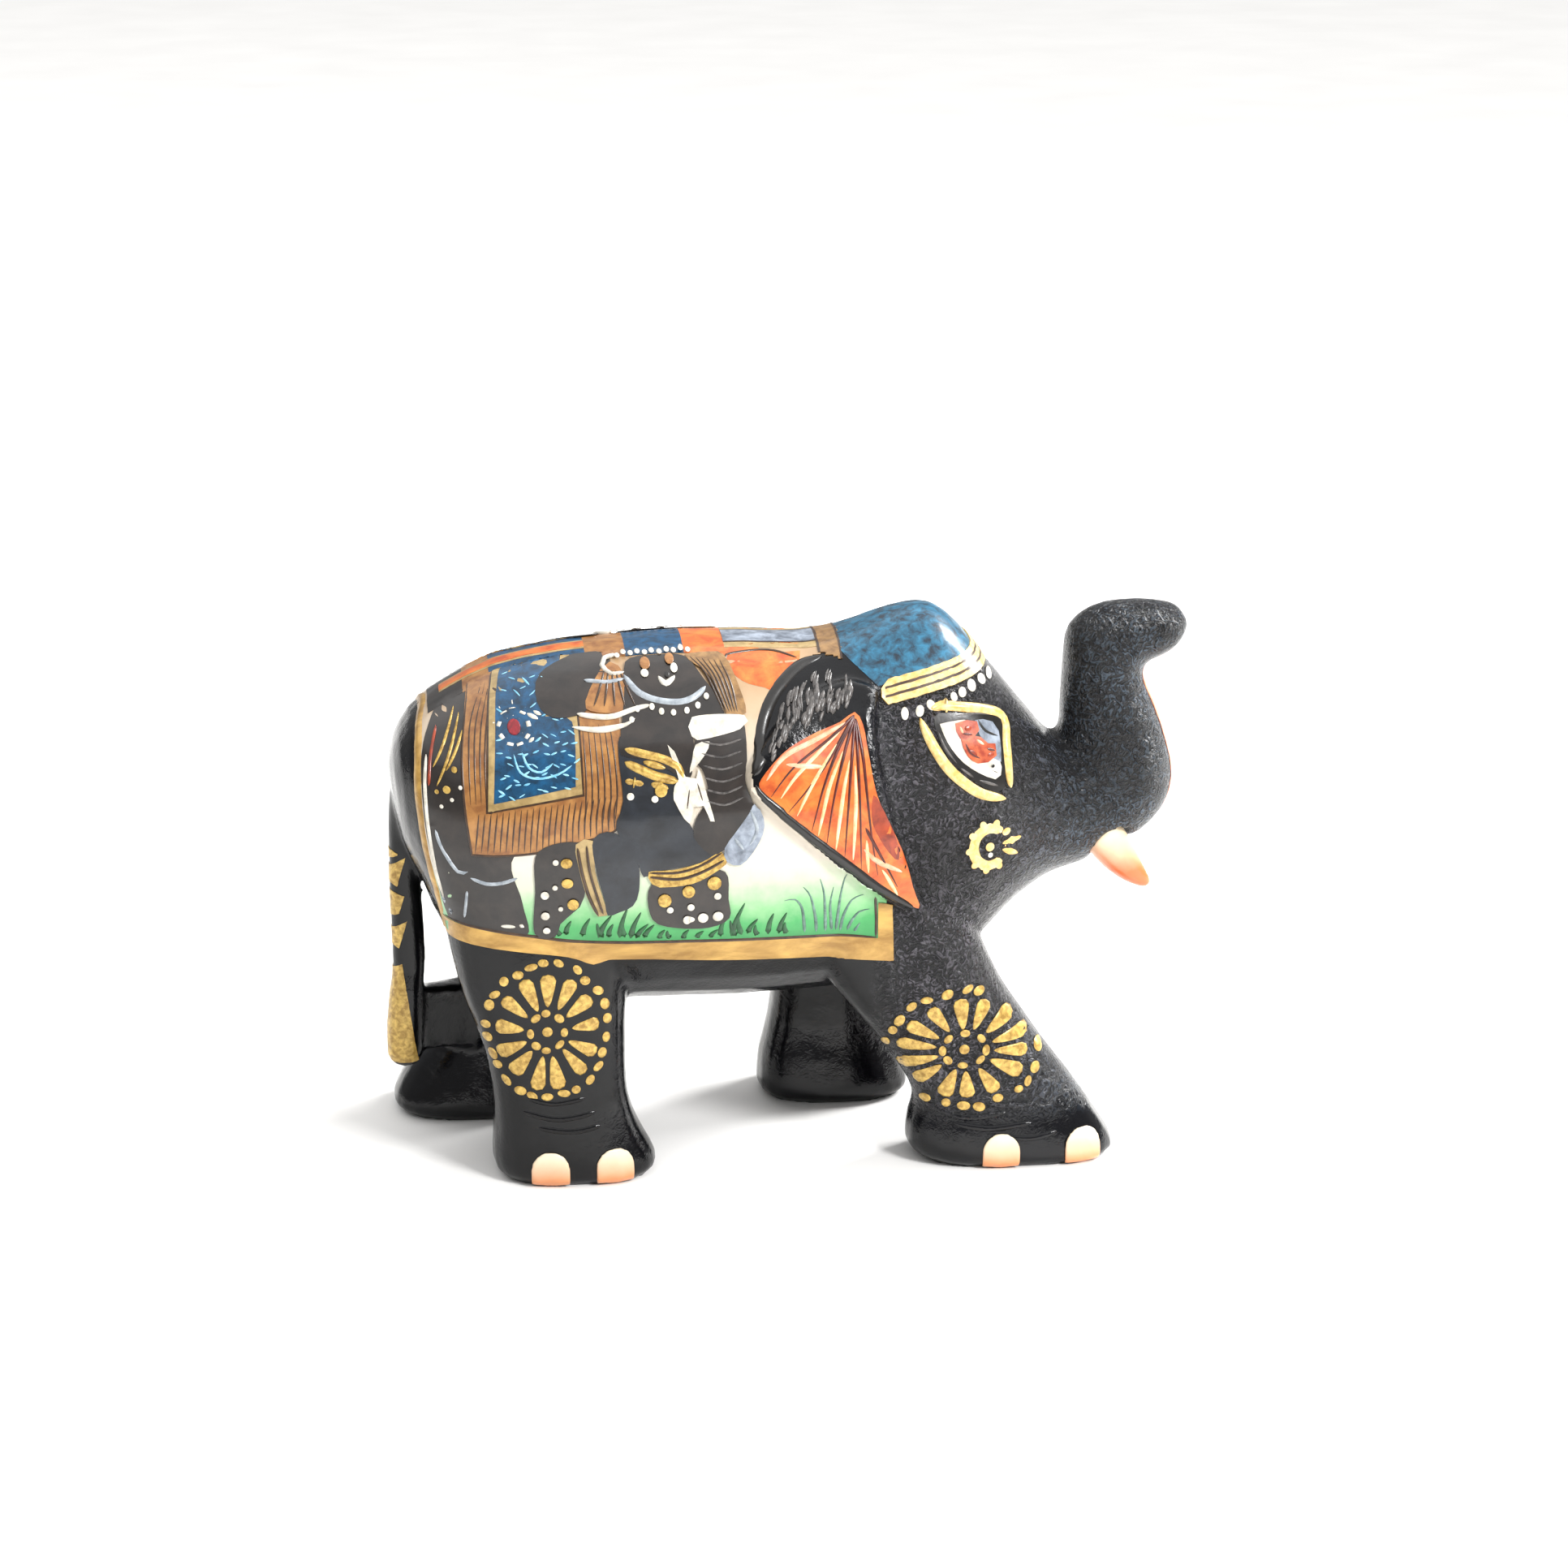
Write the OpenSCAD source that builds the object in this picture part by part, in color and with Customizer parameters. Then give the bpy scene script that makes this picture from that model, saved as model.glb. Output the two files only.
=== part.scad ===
// Carved and painted wooden elephant, trunk raised.
// The head looks along +X and the figure stands on z = 0. Millimetres.

/* [Figure] */
// Overall length, from the rump to the tip of the trunk
figure_l = 156; // [120:1:200]
// Overall height, from the soles to the crown of the head
figure_h = 106; // [85:1:140]
// Overall width across the flanks
figure_w = 59; // [48:1:76]

/* [Ears and tail] */
// Height that an ear stands out from the neck
ear_t = 2.4; // [1.2:0.2:4]
// Thickness of the tail across the figure
tail_w = 6.5; // [4.5:0.5:9]

/* [Tusks] */
// Length of a tusk, from its seat in the trunk
tusk_l = 13; // [9:0.5:18]
// Diameter of a tusk at its root
tusk_d = 9.6; // [7:0.2:11]
// Diameter of the ball at a tusk's tip
tusk_tip_d = 2.4; // [1.2:0.2:4]
// Diameter of the peg that holds a tusk
peg_d = 4; // [2.5:0.5:5]
// Length of that peg
peg_l = 6; // [3:0.5:8]
// Glue room round the peg, on the radius
peg_gap = 0.1; // [0.05:0.05:0.3]
// Glue room past the end of the peg
peg_end_gap = 0.5; // [0.2:0.1:1]

/* [Raised paint] */
// Height of the gesso ground under the saddle cloth picture
ground_t = 0.3; // [0.2:0.1:0.8]
// Height of the raised gold and white strokes
stroke_t = 0.6; // [0.3:0.1:1.2]
// Height of a toenail
nail_t = 0.7; // [0.4:0.1:1.4]
// Diameter of a toenail
nail_d = 7.4; // [5:0.2:9]
// Radius of a leg rosette, to its outer dots
rosette_r = 12; // [8:0.5:14]
// Petals in a leg rosette
rosette_petals = 14; // [8:1:18]
// Dots in the outer ring of a leg rosette
rosette_dots = 18; // [10:1:24]
// Beads in the row under the headband
bead_count = 7; // [4:1:8]
// Diameter of a bead
bead_d = 2; // [1.4:0.1:2.3]
// Width of the gold band round the saddle cloth
border_w = 3; // [1.5:0.5:5]
// Width of the headband over the forehead
headband_w = 4.2; // [3:0.2:6]
// Width of the gold line round an eye
eye_line_w = 1.4; // [0.8:0.1:1.8]

/* [Hidden] */
RIGHT = -1;
LEFT = 1;

// The outlines below are drawn for a figure of this size, and sx, sy and sz stretch them.
drawn = [156.5, 59.3, 106];
sx = figure_l / drawn.x;
sy = figure_w / drawn.y;
sz = figure_h / drawn.z;

// Trunk, head, neck and barrel: one rib a row, from the rump to the tip of the trunk.
// [x, z of the upper end, x, z of the lower end, half width, narrowing of the upper half]
spine_ribs = [
    [-76.4, 77, -75.6, 70, 3, 0], [-75.4, 82, -73.8, 63, 12.5, 0], [-72, 87.6, -70.4, 55, 19.5, 0],
    [-65, 92.5, -66.4, 45.5, 24.5, 0.02], [-56, 96.8, -59, 36, 27.5, 0.04], [-43, 99.4, -45, 31.4, 28.6, 0.05],
    [-27, 100.7, -28, 30.6, 29, 0.05], [-10, 100.8, -10, 30.5, 28.6, 0.06], [3, 100.4, 5, 31, 27.2, 0.08],
    [11, 101.8, 19, 32.5, 25.5, 0.1], [17, 104, 31, 36, 24, 0.14], [23, 105.8, 38.2, 41.5, 22.5, 0.2],
    [28.5, 105.6, 42.6, 46.4, 21, 0.22], [33.5, 101.5, 47, 50, 19.3, 0.2],
    [38.4, 95.4, 51.8, 52.6, 17, 0.16], [43.2, 89.6, 57, 54, 14.8, 0.12],
    [48, 83.6, 63.2, 56.4, 12.6, 0.08], [51.6, 79.4, 69.2, 59.4, 11.2, 0.04], [53.2, 79.6, 74, 64.2, 10.4, 0],
    [53.7, 81.8, 76, 70.6, 9.8, 0], [53.8, 86, 74.8, 77.8, 9.3, 0], [53.9, 91, 72.2, 84.8, 8.8, 0],
    [54.1, 96, 69.6, 91, 8.5, 0], [55.2, 100.6, 69.9, 93.3, 8.2, 0], [59.4, 104, 71.2, 94.2, 7.6, 0],
    [65, 105.3, 73.4, 95, 7, 0], [71, 105.3, 76, 96.8, 6.2, 0], [75.4, 104.6, 77.6, 99.4, 4.6, 0],
    [76.8, 103.6, 78, 101.4, 2.4, 0]
];

// Legs: one rib a row, from the sole up. [z, x at the back, x at the front, y inside, y outside]
leg_front_right = [
    [0, 26.5, 61, 9.5, 27], [1.4, 23.2, 62.8, 8.2, 28.4], [4, 21.6, 62, 7.8, 28.6], [8, 22, 59.4, 8.2, 28],
    [13, 23, 56, 9, 27], [20, 19.6, 51, 9.2, 26.8], [28, 13.6, 45.4, 8.6, 26.8], [36, 7, 40, 6, 26.6],
    [46, 1, 35.6, 3, 26.2], [58, -3, 31, 2, 24.6], [70, -3, 26, 1, 20]
];
leg_front_left = [
    [0, -1.5, 25, 9, 27], [1.4, -3.6, 26.8, 7.2, 28.4], [4, -4, 26.6, 6.8, 28.6], [9, -3.4, 24.6, 7.6, 28],
    [16, -1.8, 22.6, 9, 27.2], [26, -0.8, 22.6, 8.6, 26.8], [36, -1.2, 25, 6, 26.6], [46, -3, 28, 3, 26.2],
    [58, -4, 29, 2, 24.6], [70, -4, 25, 1, 20]
];
leg_rear_right = [
    [0, -56, -29, 9.5, 27], [1.4, -58.2, -27.2, 8.2, 28.4], [4, -58.8, -27.6, 7.8, 28.6],
    [9, -58.6, -30.2, 8.2, 28.2], [16, -58.6, -32.6, 9, 27.8], [26, -60, -32.8, 9, 27.8],
    [36, -63.4, -32.4, 7, 28], [46, -66, -31, 4, 27.8], [58, -67.4, -30, 3, 25.6], [70, -66, -30, 3, 20]
];
leg_rear_left = [
    [0, -75, -47, 7.5, 27], [1.4, -77.4, -45.2, 5.8, 28.4], [4, -77.6, -44.8, 5.6, 28.6],
    [10, -74, -43.4, 7, 28.2], [18, -67.4, -41, 8.4, 27.8], [26, -62.8, -38.4, 9, 27.8],
    [36, -62.8, -35, 7, 28], [46, -65.8, -33, 4, 27.8], [58, -67.4, -31, 3, 25.6], [70, -66, -30, 3, 20]
];

// Tail: [z, x at the back, x at the front, share of the tail's thickness], from the tuft up
tail_ribs = [
    [15.6, -77, -73, 0.5], [18, -78.4, -71.6, 0.9], [26, -78.2, -71, 1.1], [33, -77.2, -70.8, 0.95],
    [37, -76.8, -70.4, 0.8], [48, -76.9, -70.6, 0.8], [60, -77, -71.2, 0.9], [72, -76.4, -68, 1.1]
];
// Where the tuft is left joined to the left hind leg: [x, y, z low, z high, radius]
web_posts = [[-73.5, 1, 19, 31, 2.6], [-67, 7, 17, 29, 3], [-60, 13, 15, 28, 4]];

// Outline of an ear, seen from the side
ear_outline = [
    [15.5, 94.5], [10.5, 96], [4.5, 94.6], [-2, 91], [-6.8, 86], [-9.4, 80.6], [-8, 76.6], [1.8, 67.6],
    [11.2, 59.4], [18.8, 53.8], [23.6, 50.8], [24.4, 52.8], [19.8, 64], [17.4, 72], [15.2, 82], [14.8, 90]
];

// Saddle cloth, seen from the side, anticlockwise from its front foot; it goes over the back
cloth_outline = [
    [18.5, 43.4], [18.5, 55], [14, 80], [9.6, 103], [9.6, 125], [-71.6, 125], [-72.2, 87], [-71.8, 75],
    [-70.3, 64], [-69.2, 58.8], [-67, 52.4], [-64.4, 49.4], [-52.8, 48], [-43.7, 46.6], [-28.4, 45.2],
    [-13, 44.3], [2.8, 43.2]
];

// Eye, seen from the side
eye_outline = [
    [24.4, 88.2], [25.2, 82.8], [28, 78], [31.8, 74.6], [36.4, 72.6], [41, 72.4], [40.8, 80.6], [39.8, 86],
    [37.4, 89], [31, 90.2]
];

// Foot of the headband, and its slope
headband_foot = [17.2, 91.1];
headband_slope = 12.2;
headband_reach = 24;
bead_start = 2.6;
bead_end = 19.4;
bead_clear = 0.4;

// Ring steps and sides of the skins, and how square their sections are
rib_steps = 2;
spine_sides = 32;
leg_sides = 22;
spine_power = 2.35;
leg_power = 2.7;
tail_power = 2.2;

// Tusk seats, under the trunk: position, and lean of a tusk from straight down, in degrees
tusk_seat = [61.6, 5.8, 60.6];
tusk_lean = 42;
tusk_splay = 10;

// Rosettes, seen from the side: [x, z, share of the radius along x, share of it along z]
rosette_front_right_at = [32.4, 25.2, 1.2, 1.05];
rosette_front_left_at = [10.6, 26, 0.88, 0.96];
rosette_rear_right_at = [-47.6, 31, 1, 1.05];
rosette_rear_left_at = [-50, 31, 0.94, 1.05];
rosette_ring_dots = 9;
cheek_flower_at = [36.8, 63.5];
cheek_flower_dabs = 8;

// Toenails: x of each nail on a foot
nails_front_right = [39.2, 55.4];
nails_front_left = [8, 21];
nails_rear_right = [-48, -35.6];
nails_rear_left = [-63, -51];
nail_low = 0.5;
ear_gap = 0.1;

reach = 80;
foot_inner = 17;
grid_fn = 8;
colour_black = [0.06, 0.06, 0.07];
colour_gold = [0.78, 0.6, 0.25];
colour_white = [0.95, 0.94, 0.88];
colour_nail = [0.95, 0.76, 0.62];
colour_orange = [0.93, 0.5, 0.24];
colour_cream = [0.9, 0.87, 0.78];

// ---------- smooth skins through ribs ----------

function between(a, b, c, d, t) =
    0.5 * (2 * b + (c - a) * t + (2 * a - 5 * b + 4 * c - d) * t * t + (3 * b - a - 3 * c + d) * t * t * t);

function smoothed(rows, steps = rib_steps) = [
    for (i = [0 : len(rows) - 2], s = [0 : steps - 1])
        between(rows[max(i - 1, 0)], rows[i], rows[i + 1], rows[min(i + 2, len(rows) - 1)], s / steps),
    rows[len(rows) - 1]
];

function bowed(a, power) = sign(a) * pow(abs(a), 2 / power);

function spine_ring(rib, grow) =
    let (
        middle = [(rib[0] + rib[2]) / 2 * sx, 0, (rib[1] + rib[3]) / 2 * sz],
        up = [(rib[0] - rib[2]) / 2 * sx, 0, (rib[1] - rib[3]) / 2 * sz],
        stretch = 1 + grow / norm(up)
    )
    [for (i = [0 : spine_sides - 1])
        let (a = 360 * i / spine_sides, c = cos(a))
        middle + up * stretch * bowed(c, spine_power)
            + [0, -(rib[4] * sy + grow) * bowed(sin(a), spine_power) * (1 - rib[5] * c), 0]];

function leg_ring(rib, side, grow) =
    let (
        middle = [(rib[1] + rib[2]) / 2 * sx, side * (rib[3] + rib[4]) / 2 * sy],
        half = [(rib[2] - rib[1]) / 2 * sx + grow, (rib[4] - rib[3]) / 2 * sy + grow]
    )
    [for (i = [0 : leg_sides - 1])
        let (a = 360 * i / leg_sides)
        [middle.x + half.x * bowed(cos(a), leg_power), middle.y + half.y * bowed(sin(a), leg_power), rib[0] * sz]];

function tail_ring(rib, grow) =
    [for (i = [0 : leg_sides - 1])
        let (a = 360 * i / leg_sides)
        [(rib[1] + rib[2]) / 2 * sx + ((rib[2] - rib[1]) / 2 * sx + grow) * bowed(cos(a), tail_power),
         (tail_w / 2 * rib[3] + grow) * bowed(sin(a), tail_power), rib[0] * sz]];

// Closes a stack of rings, each wound anticlockwise as seen from the far end, into one solid
module skin(rings) {
    n = len(rings[0]);
    last = len(rings) - 1;
    polyhedron(
        points = [for (ring = rings, p = ring) p],
        faces = concat(
            [for (r = [0 : last - 1], i = [0 : n - 1]) [r * n + i, (r + 1) * n + i, r * n + (i + 1) % n]],
            [for (r = [0 : last - 1], i = [0 : n - 1])
                [r * n + (i + 1) % n, (r + 1) * n + i, (r + 1) * n + (i + 1) % n]],
            [[for (i = [0 : n - 1]) i]],
            [[for (i = [n - 1 : -1 : 0]) last * n + i]]
        )
    );
}

// ---------- the block of wood ----------

module spine(grow = 0) {
    skin([for (rib = smoothed(spine_ribs)) spine_ring(rib, grow)]);
}

module leg(ribs, side, grow = 0) {
    skin([for (rib = smoothed(ribs)) leg_ring(rib, side, grow)]);
}

module legs(grow = 0) {
    leg(leg_front_right, RIGHT, grow);
    leg(leg_front_left, LEFT, grow);
    leg(leg_rear_right, RIGHT, grow);
    leg(leg_rear_left, LEFT, grow);
}

module tail() {
    skin([for (rib = smoothed(tail_ribs)) tail_ring(rib, 0)]);
    for (i = [0 : len(web_posts) - 2])
        hull()
            for (post = [web_posts[i], web_posts[i + 1]])
                translate([post[0] * sx, post[1] * sy, post[2] * sz])
                    cylinder(r = post[4], h = (post[3] - post[2]) * sz, $fn = 16);
}

// A prism on one side of the figure, from its side view outline
module side_prism(side, inner = 0) {
    mirror([0, side < 0 ? 0 : 1, 0])
        rotate([90, 0, 0])
            translate([0, 0, inner])
                linear_extrude(reach) children();
}

module through_prism() {
    rotate([90, 0, 0])
        linear_extrude(2 * reach, center = true) children();
}

module ear_shape() {
    polygon([for (p = smoothed(concat(ear_outline, [ear_outline[0]]), 2)) [p.x * sx, p.y * sz]]);
}

module ear(side, grow = 0) {
    intersection() {
        spine(ear_t + grow);
        side_prism(side) ear_shape();
    }
}

module figure(grow = 0) {
    spine(grow);
    legs(grow);
    tail();
    for (side = [RIGHT, LEFT]) ear(side, grow);
}

// Puts a tusk's own axis, seat at z = 0 and tip along +Z, in its place under the trunk
module at_tusk(side) {
    translate([tusk_seat.x * sx, side * tusk_seat.y * sy, tusk_seat.z * sz])
        rotate([side * tusk_splay, -tusk_lean, 0])
            mirror([0, 0, 1]) children();
}

module carved_body() {
    color(colour_black)
        difference() {
            // resize() with no new size only welds the skins into one shell
            resize([0, 0, 0]) figure();
            for (side = [RIGHT, LEFT])
                at_tusk(side) {
                    translate([0, 0, -peg_l - peg_end_gap])
                        cylinder(d = peg_d + 2 * peg_gap, h = peg_l + peg_end_gap + 1, $fn = 48);
                    cylinder(d = tusk_d + 2 * peg_gap, h = tusk_l + 2, $fn = 48);
                }
        }
}

// ---------- pegged tusks ----------

module tusk(side) {
    color(colour_orange)
        at_tusk(side) {
            translate([0, 0, -peg_l]) cylinder(d = peg_d, h = peg_l + 1, $fn = 48);
            cylinder(d1 = tusk_d, d2 = tusk_tip_d, h = tusk_l - tusk_tip_d / 2, $fn = 48);
            translate([0, 0, tusk_l - tusk_tip_d / 2]) sphere(d = tusk_tip_d, $fn = 32);
        }
}

// ---------- raised paint, laid on the wood ----------

// A layer t high on the wood, inside the prism that is given
module laid(t) {
    resize([0, 0, 0])
        difference() {
            intersection() {
                figure(t);
                children();
            }
            figure();
        }
}

module cloth_shape() {
    polygon([for (p = cloth_outline) [p.x * sx, p.y * sz]]);
}

module clear_of_ears() {
    difference() {
        children();
        through_prism() offset(delta = ear_gap) ear_shape();
    }
}

module cloth_ground() {
    color(colour_cream)
        laid(ground_t)
            clear_of_ears()
                through_prism() offset(delta = -border_w) cloth_shape();
}

module cloth_border() {
    color(colour_gold)
        laid(stroke_t)
            clear_of_ears()
                through_prism() difference() {
                    cloth_shape();
                    offset(delta = -border_w) cloth_shape();
                }
}

// Along the headband's lower edge
module at_headband() {
    translate([headband_foot.x * sx, headband_foot.y * sz]) rotate(headband_slope) children();
}

module headband() {
    color(colour_gold)
        laid(stroke_t)
            through_prism() at_headband() hull() {
                translate([headband_w * 0.45, headband_w / 2]) circle(d = headband_w, $fn = 20);
                translate([headband_reach * sx, 0]) square([1, headband_w]);
            }
}

module brow_beads(side) {
    color(colour_white)
        laid(stroke_t)
            side_prism(side) at_headband()
                for (i = [0 : bead_count - 1])
                    translate([bead_start + (bead_end - bead_start) * sx * i / (bead_count - 1), -bead_d / 2 - bead_clear])
                        circle(d = bead_d, $fn = grid_fn);
}

module eye_shape() {
    polygon([for (p = smoothed(concat(eye_outline, [eye_outline[0]]), 2)) [p.x * sx, p.y * sz]]);
}

module eye_line(side) {
    color(colour_gold)
        laid(stroke_t)
            side_prism(side) difference() {
                offset(delta = eye_line_w / 2) eye_shape();
                offset(delta = -eye_line_w / 2) eye_shape();
            }
}

module ring_of(n, radius) {
    for (i = [0 : n - 1]) rotate(360 * (i + 0.5) / n) translate([radius, 0]) children();
}

module cheek_flower(side) {
    color(colour_gold)
        laid(stroke_t)
            side_prism(side) translate([cheek_flower_at.x * sx, cheek_flower_at.y * sz]) {
                circle(d = 2, $fn = grid_fn);
                ring_of(cheek_flower_dabs, 4.1) scale([1, 1.15]) circle(d = 2.5, $fn = grid_fn);
            }
}

module rosette_shape(r) {
    circle(d = 0.16 * r, $fn = grid_fn);
    ring_of(rosette_ring_dots, 0.27 * r) circle(d = 0.15 * r, $fn = 6);
    ring_of(rosette_petals, 0) hull() {
        translate([0.42 * r, 0]) circle(d = 0.05 * r, $fn = 4);
        translate([0.7 * r, 0]) circle(d = 0.17 * r, $fn = 6);
    }
    ring_of(rosette_dots, 0.93 * r) circle(d = 0.14 * r, $fn = 6);
}

module rosette(side, at) {
    color(colour_gold)
        laid(stroke_t)
            side_prism(side, foot_inner * sy)
                translate([at[0] * sx, at[1] * sz])
                    scale([at[2] * sx, at[3] * sz]) rosette_shape(rosette_r);
}

module toenails(side, places) {
    color(colour_nail)
        laid(nail_t)
            side_prism(side, foot_inner * sy)
                for (x = places)
                    translate([x * sx, nail_low]) hull() {
                        translate([0, 0.45 * nail_d]) circle(d = nail_d, $fn = 16);
                        translate([-nail_d / 2, 0]) square([nail_d, 1]);
                    }
}

carved_body();
tusk(RIGHT);  // tusk_right
tusk(LEFT);  // tusk_left
cloth_ground();
cloth_border();
headband();
rosette(RIGHT, rosette_front_right_at);  // rosette_front_right
rosette(LEFT, rosette_front_left_at);  // rosette_front_left
rosette(RIGHT, rosette_rear_right_at);  // rosette_rear_right
rosette(LEFT, rosette_rear_left_at);  // rosette_rear_left
toenails(RIGHT, nails_front_right);  // toenails_front_right
toenails(LEFT, nails_front_left);  // toenails_front_left
toenails(RIGHT, nails_rear_right);  // toenails_rear_right
toenails(LEFT, nails_rear_left);  // toenails_rear_left
brow_beads(RIGHT);  // brow_beads_right
brow_beads(LEFT);  // brow_beads_left
eye_line(RIGHT);  // eye_line_right
eye_line(LEFT);  // eye_line_left
cheek_flower(RIGHT);  // cheek_flower_right
cheek_flower(LEFT);  // cheek_flower_left
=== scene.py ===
import bpy
import math
import random
from mathutils import Matrix, Vector
from mathutils.bvhtree import BVHTree


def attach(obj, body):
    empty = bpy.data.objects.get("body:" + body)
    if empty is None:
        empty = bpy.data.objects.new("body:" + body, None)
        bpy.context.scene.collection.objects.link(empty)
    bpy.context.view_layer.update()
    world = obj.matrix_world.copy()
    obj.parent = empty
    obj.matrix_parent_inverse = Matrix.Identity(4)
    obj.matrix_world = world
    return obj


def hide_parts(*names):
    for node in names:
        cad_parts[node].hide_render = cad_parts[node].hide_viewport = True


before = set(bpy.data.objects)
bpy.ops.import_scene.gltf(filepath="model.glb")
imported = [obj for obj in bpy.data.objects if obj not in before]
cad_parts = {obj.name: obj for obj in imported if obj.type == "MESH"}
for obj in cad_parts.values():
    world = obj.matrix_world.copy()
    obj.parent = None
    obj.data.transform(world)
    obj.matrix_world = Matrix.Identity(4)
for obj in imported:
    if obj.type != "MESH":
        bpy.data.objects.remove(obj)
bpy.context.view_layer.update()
mm = 0.001
right, left = -1, 1  # the elephant's own sides, along Y


# small helpers

def takeOnly(*things):
    bpy.ops.object.select_all(action="DESELECT")
    for thing in things:
        thing.select_set(True)
    bpy.context.view_layer.objects.active = things[0]


def applyAll(thing):
    takeOnly(thing)
    for modifier in list(thing.modifiers):
        bpy.ops.object.modifier_apply(modifier=modifier.name)


def copyOf(thing, name):
    twin = bpy.data.objects.new(name, thing.data.copy())
    bpy.context.scene.collection.objects.link(twin)
    return twin


def joinAs(name, things):
    takeOnly(*things)
    if len(things) > 1:
        bpy.ops.object.join()
    whole = bpy.context.object
    whole.name = name
    whole.data.name = name
    return whole


def smoothPath(points, step, closed=False):
    # a smooth line through given points, with a point about every step millimetres
    n = len(points)
    out = []
    for i in range(n if closed else n - 1):
        if closed:
            a, b, c, d = (points[(i + k) % n] for k in (-1, 0, 1, 2))
        else:
            a, b, c, d = (points[min(max(i + k, 0), n - 1)] for k in (-1, 0, 1, 2))
        pieces = max(1, round(math.dist(b, c) / step))
        for s in range(pieces):
            t = s / pieces
            out.append(tuple(
                0.5 * (2 * b[k] + (c[k] - a[k]) * t + (2 * a[k] - 5 * b[k] + 4 * c[k] - d[k]) * t * t
                       + (3 * b[k] - a[k] - 3 * c[k] + d[k]) * t ** 3)
                for k in range(len(b))))
    if not closed:
        out.append(tuple(points[-1]))
    # two points in one place make a corner, and only one of them stays
    return [p for i, p in enumerate(out) if math.dist(p, out[i - 1]) > 0.05 or not i]


# materials: colours are sRGB hex values

def paint(hexValue):
    parts = [int(hexValue[i:i + 2], 16) / 255 for i in (1, 3, 5)]
    return [p / 12.92 if p <= 0.04045 else ((p + 0.055) / 1.055) ** 2.4 for p in parts] + [1.0]


def addNode(tree, kind, inputs=None, **settings):
    node = tree.nodes.new("ShaderNode" + kind)
    for key, value in settings.items():
        setattr(node, key, value)
    for key, value in (inputs or {}).items():
        if isinstance(value, bpy.types.NodeSocket):
            tree.links.new(value, node.inputs[key])
        else:
            node.inputs[key].default_value = value
    return node


def newFinish(name):
    finish = bpy.data.materials.new(name)
    finish.use_nodes = True
    tree = finish.node_tree
    tree.nodes.clear()
    place = addNode(tree, "TexCoord").outputs["Object"]
    return finish, tree, place


def finishWith(tree, shader):
    addNode(tree, "OutputMaterial", {"Surface": shader.outputs[0]})


def perMm(size):
    return 1 / (size * mm)  # noise scale for a pattern that repeats every size millimetres


def brushedPaint(name, dark, light, grain=1.6, stretch=(1, 1, 1), rough=0.32, relief=0.25, metal=0.0):
    # poster colour laid with a small brush and varnished: streaky in tone, glossy, faintly ridged
    finish, tree, place = newFinish(name)
    spread = addNode(tree, "Mapping", {"Vector": place, "Scale": stretch})
    streaks = addNode(tree, "TexNoise", {"Vector": spread.outputs[0], "Scale": perMm(grain), "Detail": 5.0,
                                         "Roughness": 0.62, "Distortion": 0.4})
    tone = addNode(tree, "ValToRGB", {"Fac": streaks.outputs["Fac"]})
    tone.color_ramp.elements[0].position = 0.36
    tone.color_ramp.elements[0].color = paint(dark)
    tone.color_ramp.elements[1].position = 0.66
    tone.color_ramp.elements[1].color = paint(light)
    ridges = addNode(tree, "Bump", {"Height": streaks.outputs["Fac"], "Strength": relief,
                                    "Distance": 0.15 * mm})
    shader = addNode(tree, "BsdfPrincipled", {"Base Color": tone.outputs[0], "Roughness": rough,
                                              "Metallic": metal,
                                              "Coat Weight": 0.25, "Coat Roughness": 0.15,
                                              "Normal": ridges.outputs[0]})
    finishWith(tree, shader)
    return finish


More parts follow.
